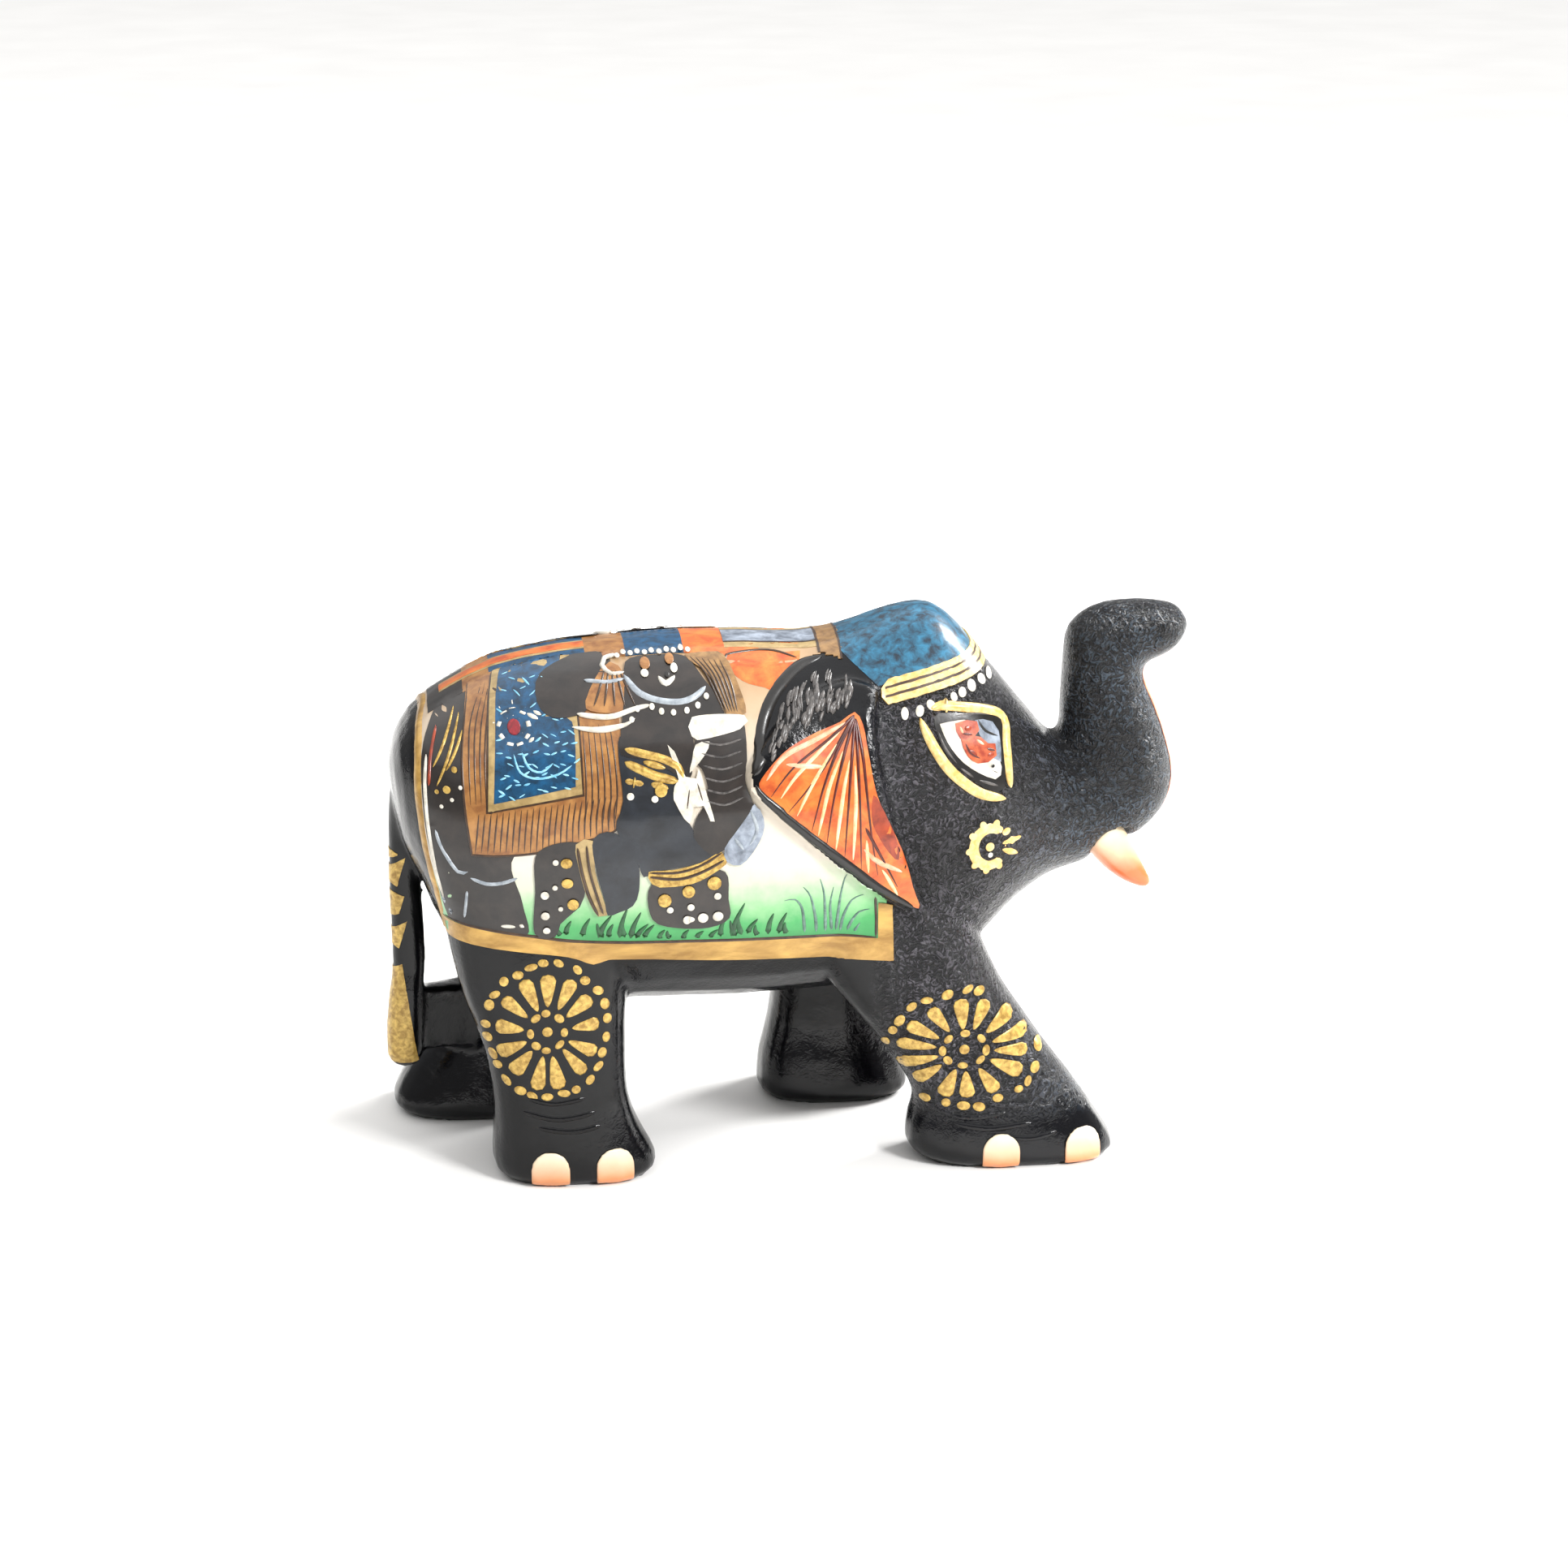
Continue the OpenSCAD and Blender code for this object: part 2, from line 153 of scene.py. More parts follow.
def blackLacquer():
    # spirit lacquer over carved wood: near black, wet gloss on the smooth parts; on head, ears and trunk
    # it was stippled with a dry brush, which leaves small grey ridges; towards the trunk their grey turns
    # into a painted blue sheen
    finish, tree, place = newFinish("blackLacquer")
    axes = addNode(tree, "SeparateXYZ", {"Vector": place})
    forward = addNode(tree, "MapRange", {"Value": axes.outputs["X"], "From Min": 13 * mm,
                                         "From Max": 21 * mm})
    upward = addNode(tree, "MapRange", {"Value": axes.outputs["Z"], "From Min": 9 * mm, "From Max": 20 * mm})
    stippled = addNode(tree, "Math", {0: forward.outputs[0], 1: upward.outputs[0]}, operation="MULTIPLY")
    bristle = addNode(tree, "TexNoise", {"Vector": place, "Scale": perMm(1.5), "Detail": 3.0,
                                         "Roughness": 0.55,
                                         "Distortion": 2.2})
    ridge = addNode(tree, "ValToRGB", {"Fac": bristle.outputs["Fac"]})
    ridge.color_ramp.elements[0].position = 0.5
    ridge.color_ramp.elements[1].position = 0.62
    cloud = addNode(tree, "TexNoise", {"Vector": place, "Scale": perMm(16), "Detail": 3.0})
    patchy = addNode(tree, "MapRange", {"Value": cloud.outputs["Fac"], "From Min": 0.38, "From Max": 0.62,
                                      "To Min": 0.3})
    dryPatch = addNode(tree, "Math", {0: patchy.outputs[0], 1: stippled.outputs[0]}, operation="MULTIPLY")
    dryBrushAndSheen = addNode(tree, "Math", {0: ridge.outputs[0], 1: dryPatch.outputs[0]}, operation="MULTIPLY")
    tint = addNode(tree, "ValToRGB", {"Fac": cloud.outputs["Fac"]})
    tint.color_ramp.elements[0].position = 0.4
    tint.color_ramp.elements[0].color = paint("#09090b")
    tint.color_ramp.elements[1].position = 0.72
    tint.color_ramp.elements[1].color = paint("#111216")
    # towards the trunk the ridges' dry-brush grey gives way to a painted blue sheen, laid in large random
    # patches
    towardsTrunk = addNode(tree, "MapRange", {"Value": axes.outputs["X"], "From Min": 38 * mm,
                                              "From Max": 56 * mm})
    ridgeGreyAndTrunkSheen = addNode(tree, "ValToRGB", {"Fac": towardsTrunk.outputs[0]})
    ridgeGreyAndTrunkSheen.color_ramp.elements[0].color = paint("#57545a")  # brown grey on the cheek
    ridgeGreyAndTrunkSheen.color_ramp.elements[1].color = paint("#44505c")  # painted blue sheen on the trunk's ridges
    coloured = addNode(tree, "Mix", data_type="RGBA")
    tree.links.new(dryBrushAndSheen.outputs[0], coloured.inputs[0])
    # Mix has an A and a B for each type: 6 and 7 are the colours
    tree.links.new(tint.outputs[0], coloured.inputs[6])
    tree.links.new(ridgeGreyAndTrunkSheen.outputs[0], coloured.inputs[7])
    wave = addNode(tree, "TexNoise", {"Vector": place, "Scale": perMm(7), "Detail": 2.0})
    relief = addNode(tree, "Math", {0: stippled.outputs[0], 1: 0.9, 2: 0.1}, operation="MULTIPLY_ADD")
    carved = addNode(tree, "Bump", {"Height": wave.outputs["Fac"], "Strength": 0.35, "Distance": 0.5 * mm})
    bristled = addNode(tree, "Bump", {"Height": bristle.outputs["Fac"], "Strength": relief.outputs[0],
                                      "Distance": 1.0 * mm, "Normal": carved.outputs[0]})
    shine = addNode(tree, "MapRange", {"Value": stippled.outputs[0], "To Min": 0.13, "To Max": 0.16})
    shader = addNode(tree, "BsdfPrincipled", {"Base Color": coloured.outputs[2],
                                              "Roughness": shine.outputs[0],
                                              "Specular IOR Level": 0.32, "Normal": bristled.outputs[0]})
    finishWith(tree, shader)
    return finish


def clothGroundPaint():
    # water colour on a burnished chalk ground: cream sky, washed into grass green along the foot
    finish, tree, place = newFinish("clothGroundPaint")
    axes = addNode(tree, "SeparateXYZ", {"Vector": place})
    wash = addNode(tree, "TexNoise", {"Vector": place, "Scale": perMm(6), "Detail": 5.0, "Roughness": 0.6})
    uneven = addNode(tree, "MapRange", {"Value": wash.outputs["Fac"], "To Min": -4 * mm, "To Max": 4 * mm})
    height = addNode(tree, "Math", {0: axes.outputs["Z"], 1: uneven.outputs[0]}, operation="ADD")
    up = addNode(tree, "MapRange", {"Value": height.outputs[0], "From Min": 48 * mm, "From Max": 102 * mm})
    sky = addNode(tree, "ValToRGB", {"Fac": up.outputs[0]})
    stops = [(0.0, "#248242"), (0.07, "#3d9c54"), (0.15, "#84bb82"), (0.24, "#c3ccb2"), (0.32, "#d6cdbf"),
             (0.66, "#d2c5b1"), (0.8, "#bda283"), (0.93, "#a98a66")]
    ramp = sky.color_ramp
    while len(ramp.elements) < len(stops):
        ramp.elements.new(0.5)
    for element, (position, hexValue) in zip(ramp.elements, stops):
        element.position = position
        element.color = paint(hexValue)
    shader = addNode(tree, "BsdfPrincipled", {"Base Color": sky.outputs[0], "Roughness": 0.3,
                                              "Coat Weight": 0.4,
                                              "Coat Roughness": 0.12})
    finishWith(tree, shader)
    return finish


def fadedPaint(name, low, high, bottom, top):
    # one colour worked wet into another from bottom to top, in millimetres up
    finish, tree, place = newFinish(name)
    axes = addNode(tree, "SeparateXYZ", {"Vector": place})
    blot = addNode(tree, "TexNoise", {"Vector": place, "Scale": perMm(2.5), "Detail": 4.0})
    shift = addNode(tree, "MapRange", {"Value": blot.outputs["Fac"], "To Min": -0.12 * (top - bottom) * mm,
                                       "To Max": 0.12 * (top - bottom) * mm})
    level = addNode(tree, "Math", {0: axes.outputs["Z"], 1: shift.outputs[0]}, operation="ADD")
    along = addNode(tree, "MapRange", {"Value": level.outputs[0], "From Min": bottom * mm,
                                       "From Max": top * mm})
    tone = addNode(tree, "ValToRGB", {"Fac": along.outputs[0]})
    tone.color_ramp.elements[0].color = paint(low)
    tone.color_ramp.elements[1].color = paint(high)
    ridges = addNode(tree, "Bump", {"Height": blot.outputs["Fac"], "Strength": 0.2, "Distance": 0.2 * mm})
    shader = addNode(tree, "BsdfPrincipled", {"Base Color": tone.outputs[0], "Roughness": 0.3,
                                              "Coat Weight": 0.35, "Coat Roughness": 0.12,
                                              "Normal": ridges.outputs[0]})
    finishWith(tree, shader)
    return finish


print("mixing the paints")
finishes = {
    "lacquer": blackLacquer(),
    "ground": clothGroundPaint(),
    "black": brushedPaint("blackPaint", "#0d0b0a", "#191512", rough=0.28),
    "blueBlack": brushedPaint("blueBlackPaint", "#14171c", "#23272e", grain=4),
    "brownBlack": brushedPaint("brownBlackPaint", "#1c1816", "#2e2723", grain=5),
    "umber": brushedPaint("umberPaint", "#2b1a0e", "#47301c"),
    "gold": brushedPaint("bronzeGoldPaint", "#93702c", "#d9b65f", grain=1.1, rough=0.36, relief=0.6,
                         metal=0.25),
    "paleGold": brushedPaint("paleGoldPaint", "#cfa455", "#f1d795", grain=1.4, rough=0.34, relief=0.5),
    "border": brushedPaint("borderGoldPaint", "#946d2e", "#cda356", grain=4, stretch=(0.35, 1, 1), rough=0.34,
                           metal=0.1),
    "fringe": brushedPaint("fringeOchrePaint", "#80522a", "#ad7b43", grain=3),
    "tan": brushedPaint("tanPaint", "#8a7347", "#b49a68", grain=3),
    "blue": brushedPaint("indigoBluePaint", "#032a41", "#0b4f78", grain=2.2),
    "sky": brushedPaint("skyBluePaint", "#5aa6c8", "#9ad0e2", grain=2),
    "cap": brushedPaint("marbledBluePaint", "#041f30", "#236f90", grain=2, relief=0.6),
    "white": brushedPaint("whitePaint", "#bdb7a9", "#e6e1d5", grain=2, rough=0.3),
    "grey": brushedPaint("greyBluePaint", "#7e868e", "#b3bac0", grain=2),
    "stormGrey": brushedPaint("stormGreyPaint", "#59606b", "#9aa3b0", grain=3),
    "ash": brushedPaint("ashGreyPaint", "#2f2c2b", "#67625f", grain=1.2),
    "orange": brushedPaint("orangePaint", "#ad4515", "#dd7a30", grain=4),
    "rust": brushedPaint("rustPaint", "#6f2412", "#a63f1a", grain=3),
    "maroon": brushedPaint("maroonPaint", "#34100c", "#5f1d12", grain=3),
    "peach": brushedPaint("peachPaint", "#e6ad74", "#f7dcae", grain=2.5),
    "pink": brushedPaint("shellPinkPaint", "#ef9a72", "#f9c9ab", grain=2.5),
    "crimson": brushedPaint("crimsonPaint", "#5e0c18", "#a01c28", grain=2),
    "iris": brushedPaint("irisOrangePaint", "#8e2d16", "#cf6a3e", grain=2.4),
    "darkGreen": brushedPaint("darkGreenPaint", "#0c3d1c", "#175a2b", grain=2),
    "reed": brushedPaint("reedGreenPaint", "#3c5b50", "#6d8d80", grain=2),
    "headdress": brushedPaint("headdressBrownPaint", "#6e4f2c", "#9c7748", grain=2),
    "nail": fadedPaint("toenailPaint", "#dc915c", "#eadcbf", 1.5, 6.5),
    "tusk": fadedPaint("tuskPaint", "#dd6a32", "#fae2be", 53.5, 61.2),
}


# the carved block

carving = {"voxel": 0.78, "smoothing": 5, "waviness": 0.22, "waveLength": 11.0}


def carvedElephant():
    # the turned-up block, with the knife's gentle unevenness that shows in its gloss
    body = copyOf(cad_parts["carved_body"], "carvedElephant")
    takeOnly(body)
    bpy.ops.object.mode_set(mode="EDIT")
    bpy.ops.mesh.select_all(action="SELECT")
    bpy.ops.mesh.remove_doubles(threshold=0.001 * mm)
    bpy.ops.object.mode_set(mode="OBJECT")
    skin = body.modifiers.new("skin", "REMESH")
    skin.mode = "VOXEL"
    skin.voxel_size = carving["voxel"] * mm
    softened = body.modifiers.new("softened", "SMOOTH")
    softened.factor = 0.5
    softened.iterations = carving["smoothing"]
    chisel = bpy.data.textures.new("chisel", "CLOUDS")
    chisel.noise_scale = carving["waveLength"] * mm
    uneven = body.modifiers.new("uneven", "DISPLACE")
    uneven.texture = chisel
    uneven.texture_coords = "OBJECT"
    uneven.strength = 2 * carving["waviness"] * mm
    uneven.mid_level = 0.5
    applyAll(body)
    for vertex in body.data.vertices:  # the soles stay flat on the ground
        if vertex.co.z < 0.35 * mm:
            vertex.co.z = 0
    takeOnly(body)
    bpy.ops.object.shade_smooth()
    body.data.materials.clear()
    body.data.materials.append(finishes["lacquer"])
    return body


body = carvedElephant()
surface = BVHTree.FromObject(body, bpy.context.evaluated_depsgraph_get())
print("carved block:", len(body.data.polygons), "faces")


def crest(x):
    # how high the back stands at x
    place, _, _, _ = surface.ray_cast(Vector((x, 0.4, 150)) * mm, Vector((0, 0, -1)))
    return place.z / mm if place is not None else 0.0


reach = {"outside": 60, "underCrest": 0.45, "middle": 1.2}


def touch(x, z, side):
    # where a brush coming straight in from the side meets the wood, and the way that the wood faces there
    start = Vector((x, side * reach["outside"], min(z, crest(x) - reach["underCrest"]))) * mm
    place, normal, _, _ = surface.ray_cast(start, Vector((0, -side, 0)))
    if place is None or place.y * side < reach["middle"] * mm:  # past the edge of a leg or of the tail
        return None
    return place, normal


# laying paint: flat patches and raised strokes

flatPaint = {"grid": 1.3, "edgeStep": 1.5, "thick": 0.14}


def patch(name, outline, side, finish, lift):
    # a filled outline in side view, laid on the wood, lift millimetres up
    flat = bpy.data.curves.new(name, "CURVE")
    flat.dimensions = "2D"
    flat.fill_mode = "BOTH"
    edge = smoothPath(outline, flatPaint["edgeStep"], closed=True)
    line = flat.splines.new("POLY")
    line.points.add(len(edge) - 1)
    for point, (x, z) in zip(line.points, edge):
        point.co = (x, z, 0, 1)
    line.use_cyclic_u = True
    sheet = bpy.data.objects.new(name, flat)
    bpy.context.scene.collection.objects.link(sheet)
    takeOnly(sheet)
    bpy.ops.object.convert(target="MESH")
    sheet = bpy.context.object
    lowX, highX = min(p[0] for p in edge), max(p[0] for p in edge)
    lowZ, highZ = min(p[1] for p in edge), max(p[1] for p in edge)
    bpy.ops.object.mode_set(mode="EDIT")
    for low, high, normal in ((lowX, highX, (1, 0, 0)), (lowZ, highZ, (0, 1, 0))):
        for i in range(1, int((high - low) / flatPaint["grid"]) + 1):
            cut = low + i * flatPaint["grid"]
            bpy.ops.mesh.select_all(action="SELECT")
            bpy.ops.mesh.bisect(plane_co=tuple(cut * n for n in normal), plane_no=normal)
    bpy.ops.mesh.select_all(action="SELECT")
    bpy.ops.mesh.remove_doubles(threshold=0.01)
    bpy.ops.mesh.normals_make_consistent(inside=False)
    bpy.ops.object.mode_set(mode="OBJECT")
    for vertex in sheet.data.vertices:
        met = touch(vertex.co.x, vertex.co.y, side)
        if not met:
            met = surface.find_nearest(Vector((vertex.co.x, side * 20, vertex.co.y)) * mm)[:2]
        vertex.co = met[0] + met[1] * lift * mm
    sheet.data.update()
    facing = sum(p.normal.y * p.area for p in sheet.data.polygons)
    if facing * side < 0:
        sheet.data.flip_normals()
    wall = sheet.modifiers.new("wall", "SOLIDIFY")
    wall.thickness = flatPaint["thick"] * mm
    wall.offset = -1
    applyAll(sheet)
    bpy.ops.object.shade_smooth_by_angle(angle=math.radians(50))
    sheet.data.materials.clear()
    sheet.data.materials.append(finishes[finish])
    return sheet


profiles = {
    "line": lambda t: (1 - abs(2 * t - 1) ** 6) ** 0.5,
    "brush": lambda t: math.sin(math.pi * t) ** 0.6,
    "whip": lambda t: min(1, t / 0.12) ** 0.5 * (1 - t) ** 0.6,
}


strokeStep = 0.9


def strokes(name, lines, side, finish, lift=0.0, relief=0.22):
    # each line is (points, width, profile): a round bead of paint sunk in the wood until only its back shows
    bead = bpy.data.curves.new(name, "CURVE")
    bead.dimensions = "3D"
    bead.bevel_depth = 1 * mm
    bead.bevel_resolution = 4 if max(width for _, width, _ in lines) > 1.2 else 2
    bead.use_fill_caps = True
    for points, width, profile in lines:
        path = smoothPath(points, strokeStep)
        if len(path) < 8:  # a short dab needs finer steps
            path = smoothPath(points, strokeStep * len(path) / 11)
        met = [(i / (len(path) - 1), touch(x, z, side)) for i, (x, z) in enumerate(path)]
        met = [(t, found) for t, found in met if found]
        if len(met) < 4:
            continue
        spline = bead.splines.new("POLY")
        spline.points.add(len(met) - 1)
        for point, (t, (place, normal)) in zip(spline.points, met):
            half = width / 2 * max(profiles[profile](t), 0.12)
            rise = min(relief, 0.5 * half)
            radius = (half ** 2 + rise ** 2) / (2 * rise)
            point.co = (*(place + normal * (lift + rise - radius) * mm), 1)
            point.radius = radius
    laid = bpy.data.objects.new(name, bead)
    bpy.context.scene.collection.objects.link(laid)
    takeOnly(laid)
    bpy.ops.object.convert(target="MESH")
    laid = bpy.context.object
    bpy.ops.object.shade_smooth()
    laid.data.materials.clear()
    laid.data.materials.append(finishes[finish])
    return laid


def thickDrop(name, fanned=False):
    # one drop of thick paint, flat underneath; a fanned one is a petal, narrow at its near end
    bpy.ops.object.select_all(action="DESELECT")
    bpy.ops.mesh.primitive_uv_sphere_add(segments=14, ring_count=8, radius=0.5)
    drop = bpy.context.object
    drop.name = name
    for vertex in drop.data.vertices:
        vertex.select = vertex.co.z < -0.05
    bpy.ops.object.mode_set(mode="EDIT")
    bpy.ops.transform.resize(value=(0.92, 0.92, 0.3), center_override=(0, 0, 0))
    bpy.ops.object.mode_set(mode="OBJECT")
    if fanned:
        for vertex in drop.data.vertices:
            y = vertex.co.y
            wide = (0.22 + 0.78 * (y + 0.5)) * min(1, max(0, 0.5 - abs(y)) * 7) ** 0.5
            vertex.co.x *= wide / (2 * max(0.002, 0.25 - y * y) ** 0.5)
    bpy.ops.object.shade_smooth()
    return drop


roundDrop = thickDrop("roundDrop")
petalDrop = thickDrop("petalDrop", fanned=True)


beadHeight = {"share": 0.5, "widest": 1.3}


def beads(name, places, side, finish, lift=0.0, shape=None):
    # each place is (x, z, width, length, turn): copies of the one drop, laid to follow the wood
    laid = []
    for x, z, width, *more in places:
        length = more[0] if more else width
        turn = more[1] if len(more) > 1 else 0.0
        drop = copyOf(shape or roundDrop, name)
        for vertex in drop.data.vertices:
            u, v = vertex.co.x * width, vertex.co.y * length
            h = vertex.co.z * min(width, beadHeight["widest"]) * beadHeight["share"]
            met = touch(x + u * math.cos(turn) - v * math.sin(turn),
                        z + u * math.sin(turn) + v * math.cos(turn),
                        side)
            if not met:
                bpy.data.objects.remove(drop)
                drop = None
                break
            vertex.co = met[0] + met[1] * (lift + h) * mm
        if drop:
            laid.append(drop)
    whole = joinAs(name, laid)
    whole.data.materials.clear()
    whole.data.materials.append(finishes[finish])
    return whole


def shell(name, planes, finish, lift, thick=0.2, keep=None, scores=()):
    # a coat of paint right round the wood: its skin cut by planes (point, way that stays)
    coat = copyOf(body, name)
    takeOnly(coat)
    bpy.ops.object.mode_set(mode="EDIT")
    for point, way in planes:
        bpy.ops.mesh.select_all(action="SELECT")
        bpy.ops.mesh.bisect(plane_co=Vector(point) * mm, plane_no=way, clear_inner=True)
    for outline in scores:  # cut lines, so that what keep drops leaves a clean edge
        for (ax, az), (bx, bz) in zip(outline, outline[1:] + outline[:1]):
            bpy.ops.mesh.select_all(action="SELECT")
            bpy.ops.mesh.bisect(plane_co=Vector((ax, 0, az)) * mm, plane_no=(bz - az, 0, ax - bx))
    bpy.ops.mesh.select_all(action="DESELECT")
    bpy.ops.object.mode_set(mode="OBJECT")
    if keep:
        for face in coat.data.polygons:
            face.select = not keep(*(face.center / mm))
        bpy.ops.object.mode_set(mode="EDIT")
        bpy.ops.mesh.delete(type="FACE")
        bpy.ops.object.mode_set(mode="OBJECT")
    wall = coat.modifiers.new("wall", "SOLIDIFY")
    wall.thickness = thick * mm
    wall.offset = (2 * lift - thick) / thick  # the outer face stands lift over the wood
    applyAll(coat)
    bpy.ops.object.shade_smooth_by_angle(angle=math.radians(50))
    coat.data.materials.clear()
    coat.data.materials.append(finishes[finish])
    return coat


def inside(x, z, outline):
    # is a point in a side-view outline
    within = False
    for (ax, az), (bx, bz) in zip(outline, outline[1:] + outline[:1]):
        if (az > z) != (bz > z) and x < (bx - ax) * (z - az) / (bz - az) + ax:
            within = not within
    return within


sideNames = {right: "Right", left: "Left"}
nodeSides = {right: "right", left: "left"}


def layPaint(name, side, layers, base=0.1, rise=0.05):
    # a motif in layers from the ground up, each (finish, how, what): patch, strokes, beads or petals
    laid = []
    for level, (finish, how, what) in enumerate(layers):
        lift = base + rise * level
        title = name + sideNames[side]
        if how == "patch":
            laid.append(patch(title, what, side, finish, lift))
        elif how == "strokes":
            laid.append(strokes(title, what, side, finish, lift - 0.06))
        elif how == "beads":
            laid.append(beads(title, what, side, finish, lift - 0.04))
        elif how == "petals":
            laid.append(beads(title, what, side, finish, lift - 0.04, shape=petalDrop))
    whole = joinAs(name + sideNames[side], laid)
    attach(whole, "root")
    print("painted", whole.name, len(whole.data.polygons), "faces")
    return whole


def line(width, *points):
    return (list(points), width, "line")


def brush(width, *points):
    return (list(points), width, "brush")


def whip(width, *points):
    return (list(points), width, "whip")


# the cloth painted on its back: chalk ground, grass, and the gold border

cloth = {
    "rear": [(-66.4, 50), (-67.6, 57.5), (-69, 64), (-70.1, 72), (-70.5, 79), (-70.2, 84.4)],
    "foot": [(-52, 48.6), (-39, 46.2), (-13, 45.6), (16.6, 44.6), (16.6, 54), (10, 92), (10, 112),
             (-69, 112)],
    "ear": [(-9.2, 80.8), (-6.6, 88.8), (-4.7, 93), (-1.2, 96.5), (2.6, 98.5), (6.1, 99.2), (12, 98),
            (18, 90), (24, 52), (18.8, 54), (11.2, 59.8), (1.8, 68), (-7.6, 77)],
    "lift": 0.1,
}
cloth["outline"] = cloth["rear"][::-1] + cloth["foot"]
rearCorner = [(z, abs(touch(x, z, right)[0].y) / mm) for x, z in cloth["rear"]]


def bareRump(z):
    # half the width of the rump that the cloth leaves bare, at a height
    for (lowZ, lowY), (highZ, highY) in zip(rearCorner, rearCorner[1:] + [(89.2, 0)]):
        if lowZ <= z < highZ:
            return lowY + (highY - lowY) * (z - lowZ) / (highZ - lowZ)
    return 0


def onCloth(x, y, z):
    return (inside(x, z, cloth["outline"]) and not inside(x, z, cloth["ear"])
            and (x > -62 or abs(y) > bareRump(z)))


clothGround = shell("clothGround", [((16.6, 0, 0), (-1, 0, 0))], "ground",
                    cloth["lift"], keep=onCloth, scores=(cloth["rear"], cloth["foot"][:5], cloth["ear"]))
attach(clothGround, "root")
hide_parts("cloth_ground")
print("painted the cloth's ground")

rim = {
    "bottom": [(-66.8, 53), (-66.8, 53), (-52, 51), (-40, 49.3), (-20, 48.7), (4, 48.3), (15, 47.7),
               (15, 47.7), (15.1, 54.6), (15.1, 54.6), (17.8, 54.4), (17.8, 54.4), (18, 43.2), (18, 43.2),
               (10, 43.5), (-13, 44.2), (-28, 45.1), (-36, 45.3), (-39, 44.8), (-43.7, 46.7), (-52.8, 48),
               (-66, 49.6), (-66, 49.6)],
    "crest": [(-69.5, -9, 87.4), (-68.9, 0, 89.4)],
    "cream": [(-66.4, 57.5), (-67.9, 64), (-68.9, 72), (-69.2, 79), (-68.8, 84)],
    "neck": (5.9, 9.4),
}


def hoop(name, points, width, finish, lift=0.1, relief=0.25):
    # a band of paint over the back from flank to flank, through rough points that drop on the wood
    band = bpy.data.curves.new(name, "CURVE")
    band.dimensions = "3D"
    band.bevel_depth = 1 * mm
    band.bevel_resolution = 3
    band.use_fill_caps = True
    spline = band.splines.new("POLY")
    path = smoothPath(points, 1.5)
    spline.points.add(len(path) - 1)
    half = width / 2
    radius = (half ** 2 + relief ** 2) / (2 * relief)
    for point, place in zip(spline.points, path):
        near, normal, _, _ = surface.find_nearest(Vector(place) * mm)
        point.co = (*(near + normal * (lift + relief - radius) * mm), 1)
        point.radius = radius
    laid = bpy.data.objects.new(name, band)
    bpy.context.scene.collection.objects.link(laid)
    takeOnly(laid)
    bpy.ops.object.convert(target="MESH")
    laid = bpy.context.object
    bpy.ops.object.shade_smooth()
    laid.data.materials.clear()
    laid.data.materials.append(finishes[finish])
    return laid


borders = []
for side in (right, left):
    borders.append(layPaint("clothBorder", side, [
        ("border", "patch", rim["bottom"]),
        ("umber", "strokes", [line(0.6, (-66.2, 53.2), (-52, 51.2), (-40, 49.5), (-20, 48.9), (4, 48.5),
                                   (14.8, 47.9)),
                              line(0.5, (14.6, 48), (14.7, 51.5), (14.5, 56))]),
        ("white", "strokes", [line(0.8, *rim["cream"])]),
        ("rust", "strokes", [line(0.6, (-68.5, 79), (-68, 84), (-66.8, 88.4))]),
    ], base=0.2))
rearHalf = [(x, -y, z) for (x, z), (_, y) in zip(cloth["rear"], rearCorner)] + rim["crest"]
borders.append(hoop("rumpBand", rearHalf + [(x, -y, z) for x, y, z in rearHalf[-2::-1]], 2.0, "border"))
neckRear, neckFront = rim["neck"]
for finish, rear, front, lift in (("headdress", neckRear, neckFront, 0.2),
                                  ("umber", neckRear - 0.5, neckRear, 0.24),
                                  ("umber", neckFront, neckFront + 0.4, 0.24)):
    borders.append(shell("neckBand", [((rear, 0, 0), (1, 0, 0)), ((front, 0, 0), (-1, 0, 0)),
                                      ((0, 0, 80), (0, 0, 1))],
                         finish, lift, keep=lambda x, y, z: not inside(x, z, cloth["ear"]),
                         scores=(cloth["ear"],)))
clothBorder = joinAs("clothBorder", borders)
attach(clothBorder, "root")
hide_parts("cloth_border")

scenery = {
    "rump": [(-68.2, 88.2), (-69.6, 84), (-69.8, 78), (-69.2, 70), (-67.6, 61), (-66.2, 55), (-65.6, 53.2),
             (-58, 52.2), (-51.2, 51.2), (-52, 58), (-53.2, 67.2), (-40, 72), (-34, 99.4), (-45, 98.6),
             (-58, 95.4), (-65.6, 91.4)],
    "sunset": [(-14, 99.9), (2.4, 100.2), (1.8, 98.6), (-0.4, 96.4), (-2.7, 94), (-5.5, 94.9), (-8.5, 95.6),
               (-10.6, 96.6), (-12.4, 98.2)],
}

blades = [(-45, 51, -45.6, 53), (-24.5, 49.8, -25, 51.4), (-19.5, 49.6, -18.2, 51), (-11, 49.8, -11.8, 54.4),
          (-37, 50.3, -38.2, 53.4), (-33, 50.2, -33.4, 54), (-31, 50, -28.6, 53), (-44, 51, -43, 54),
          (-41, 50.6, -39.5, 54.5), (-38, 50.3, -35.5, 55), (-36, 50.3, -35.2, 53.2),
          (-34, 50.2, -32.5, 56.5), (-32, 50, -30, 55.5), (-29.5, 50, -27.5, 52.8),
          (-26.5, 49.8, -25.5, 51.6), (-22, 49.6, -21, 51.4), (-17, 49.5, -15.5, 51.2),
          (-15, 49.6, -14.2, 53.6), (-13, 49.6, -10.5, 56.5), (-12, 49.6, -13.2, 53), (-10, 50, -8, 53),
          (-8, 49.6, -8.4, 51.8), (-6, 49.6, -5, 54), (-4, 49.6, -2.5, 54), (-2.4, 49.5, -2.8, 52)]
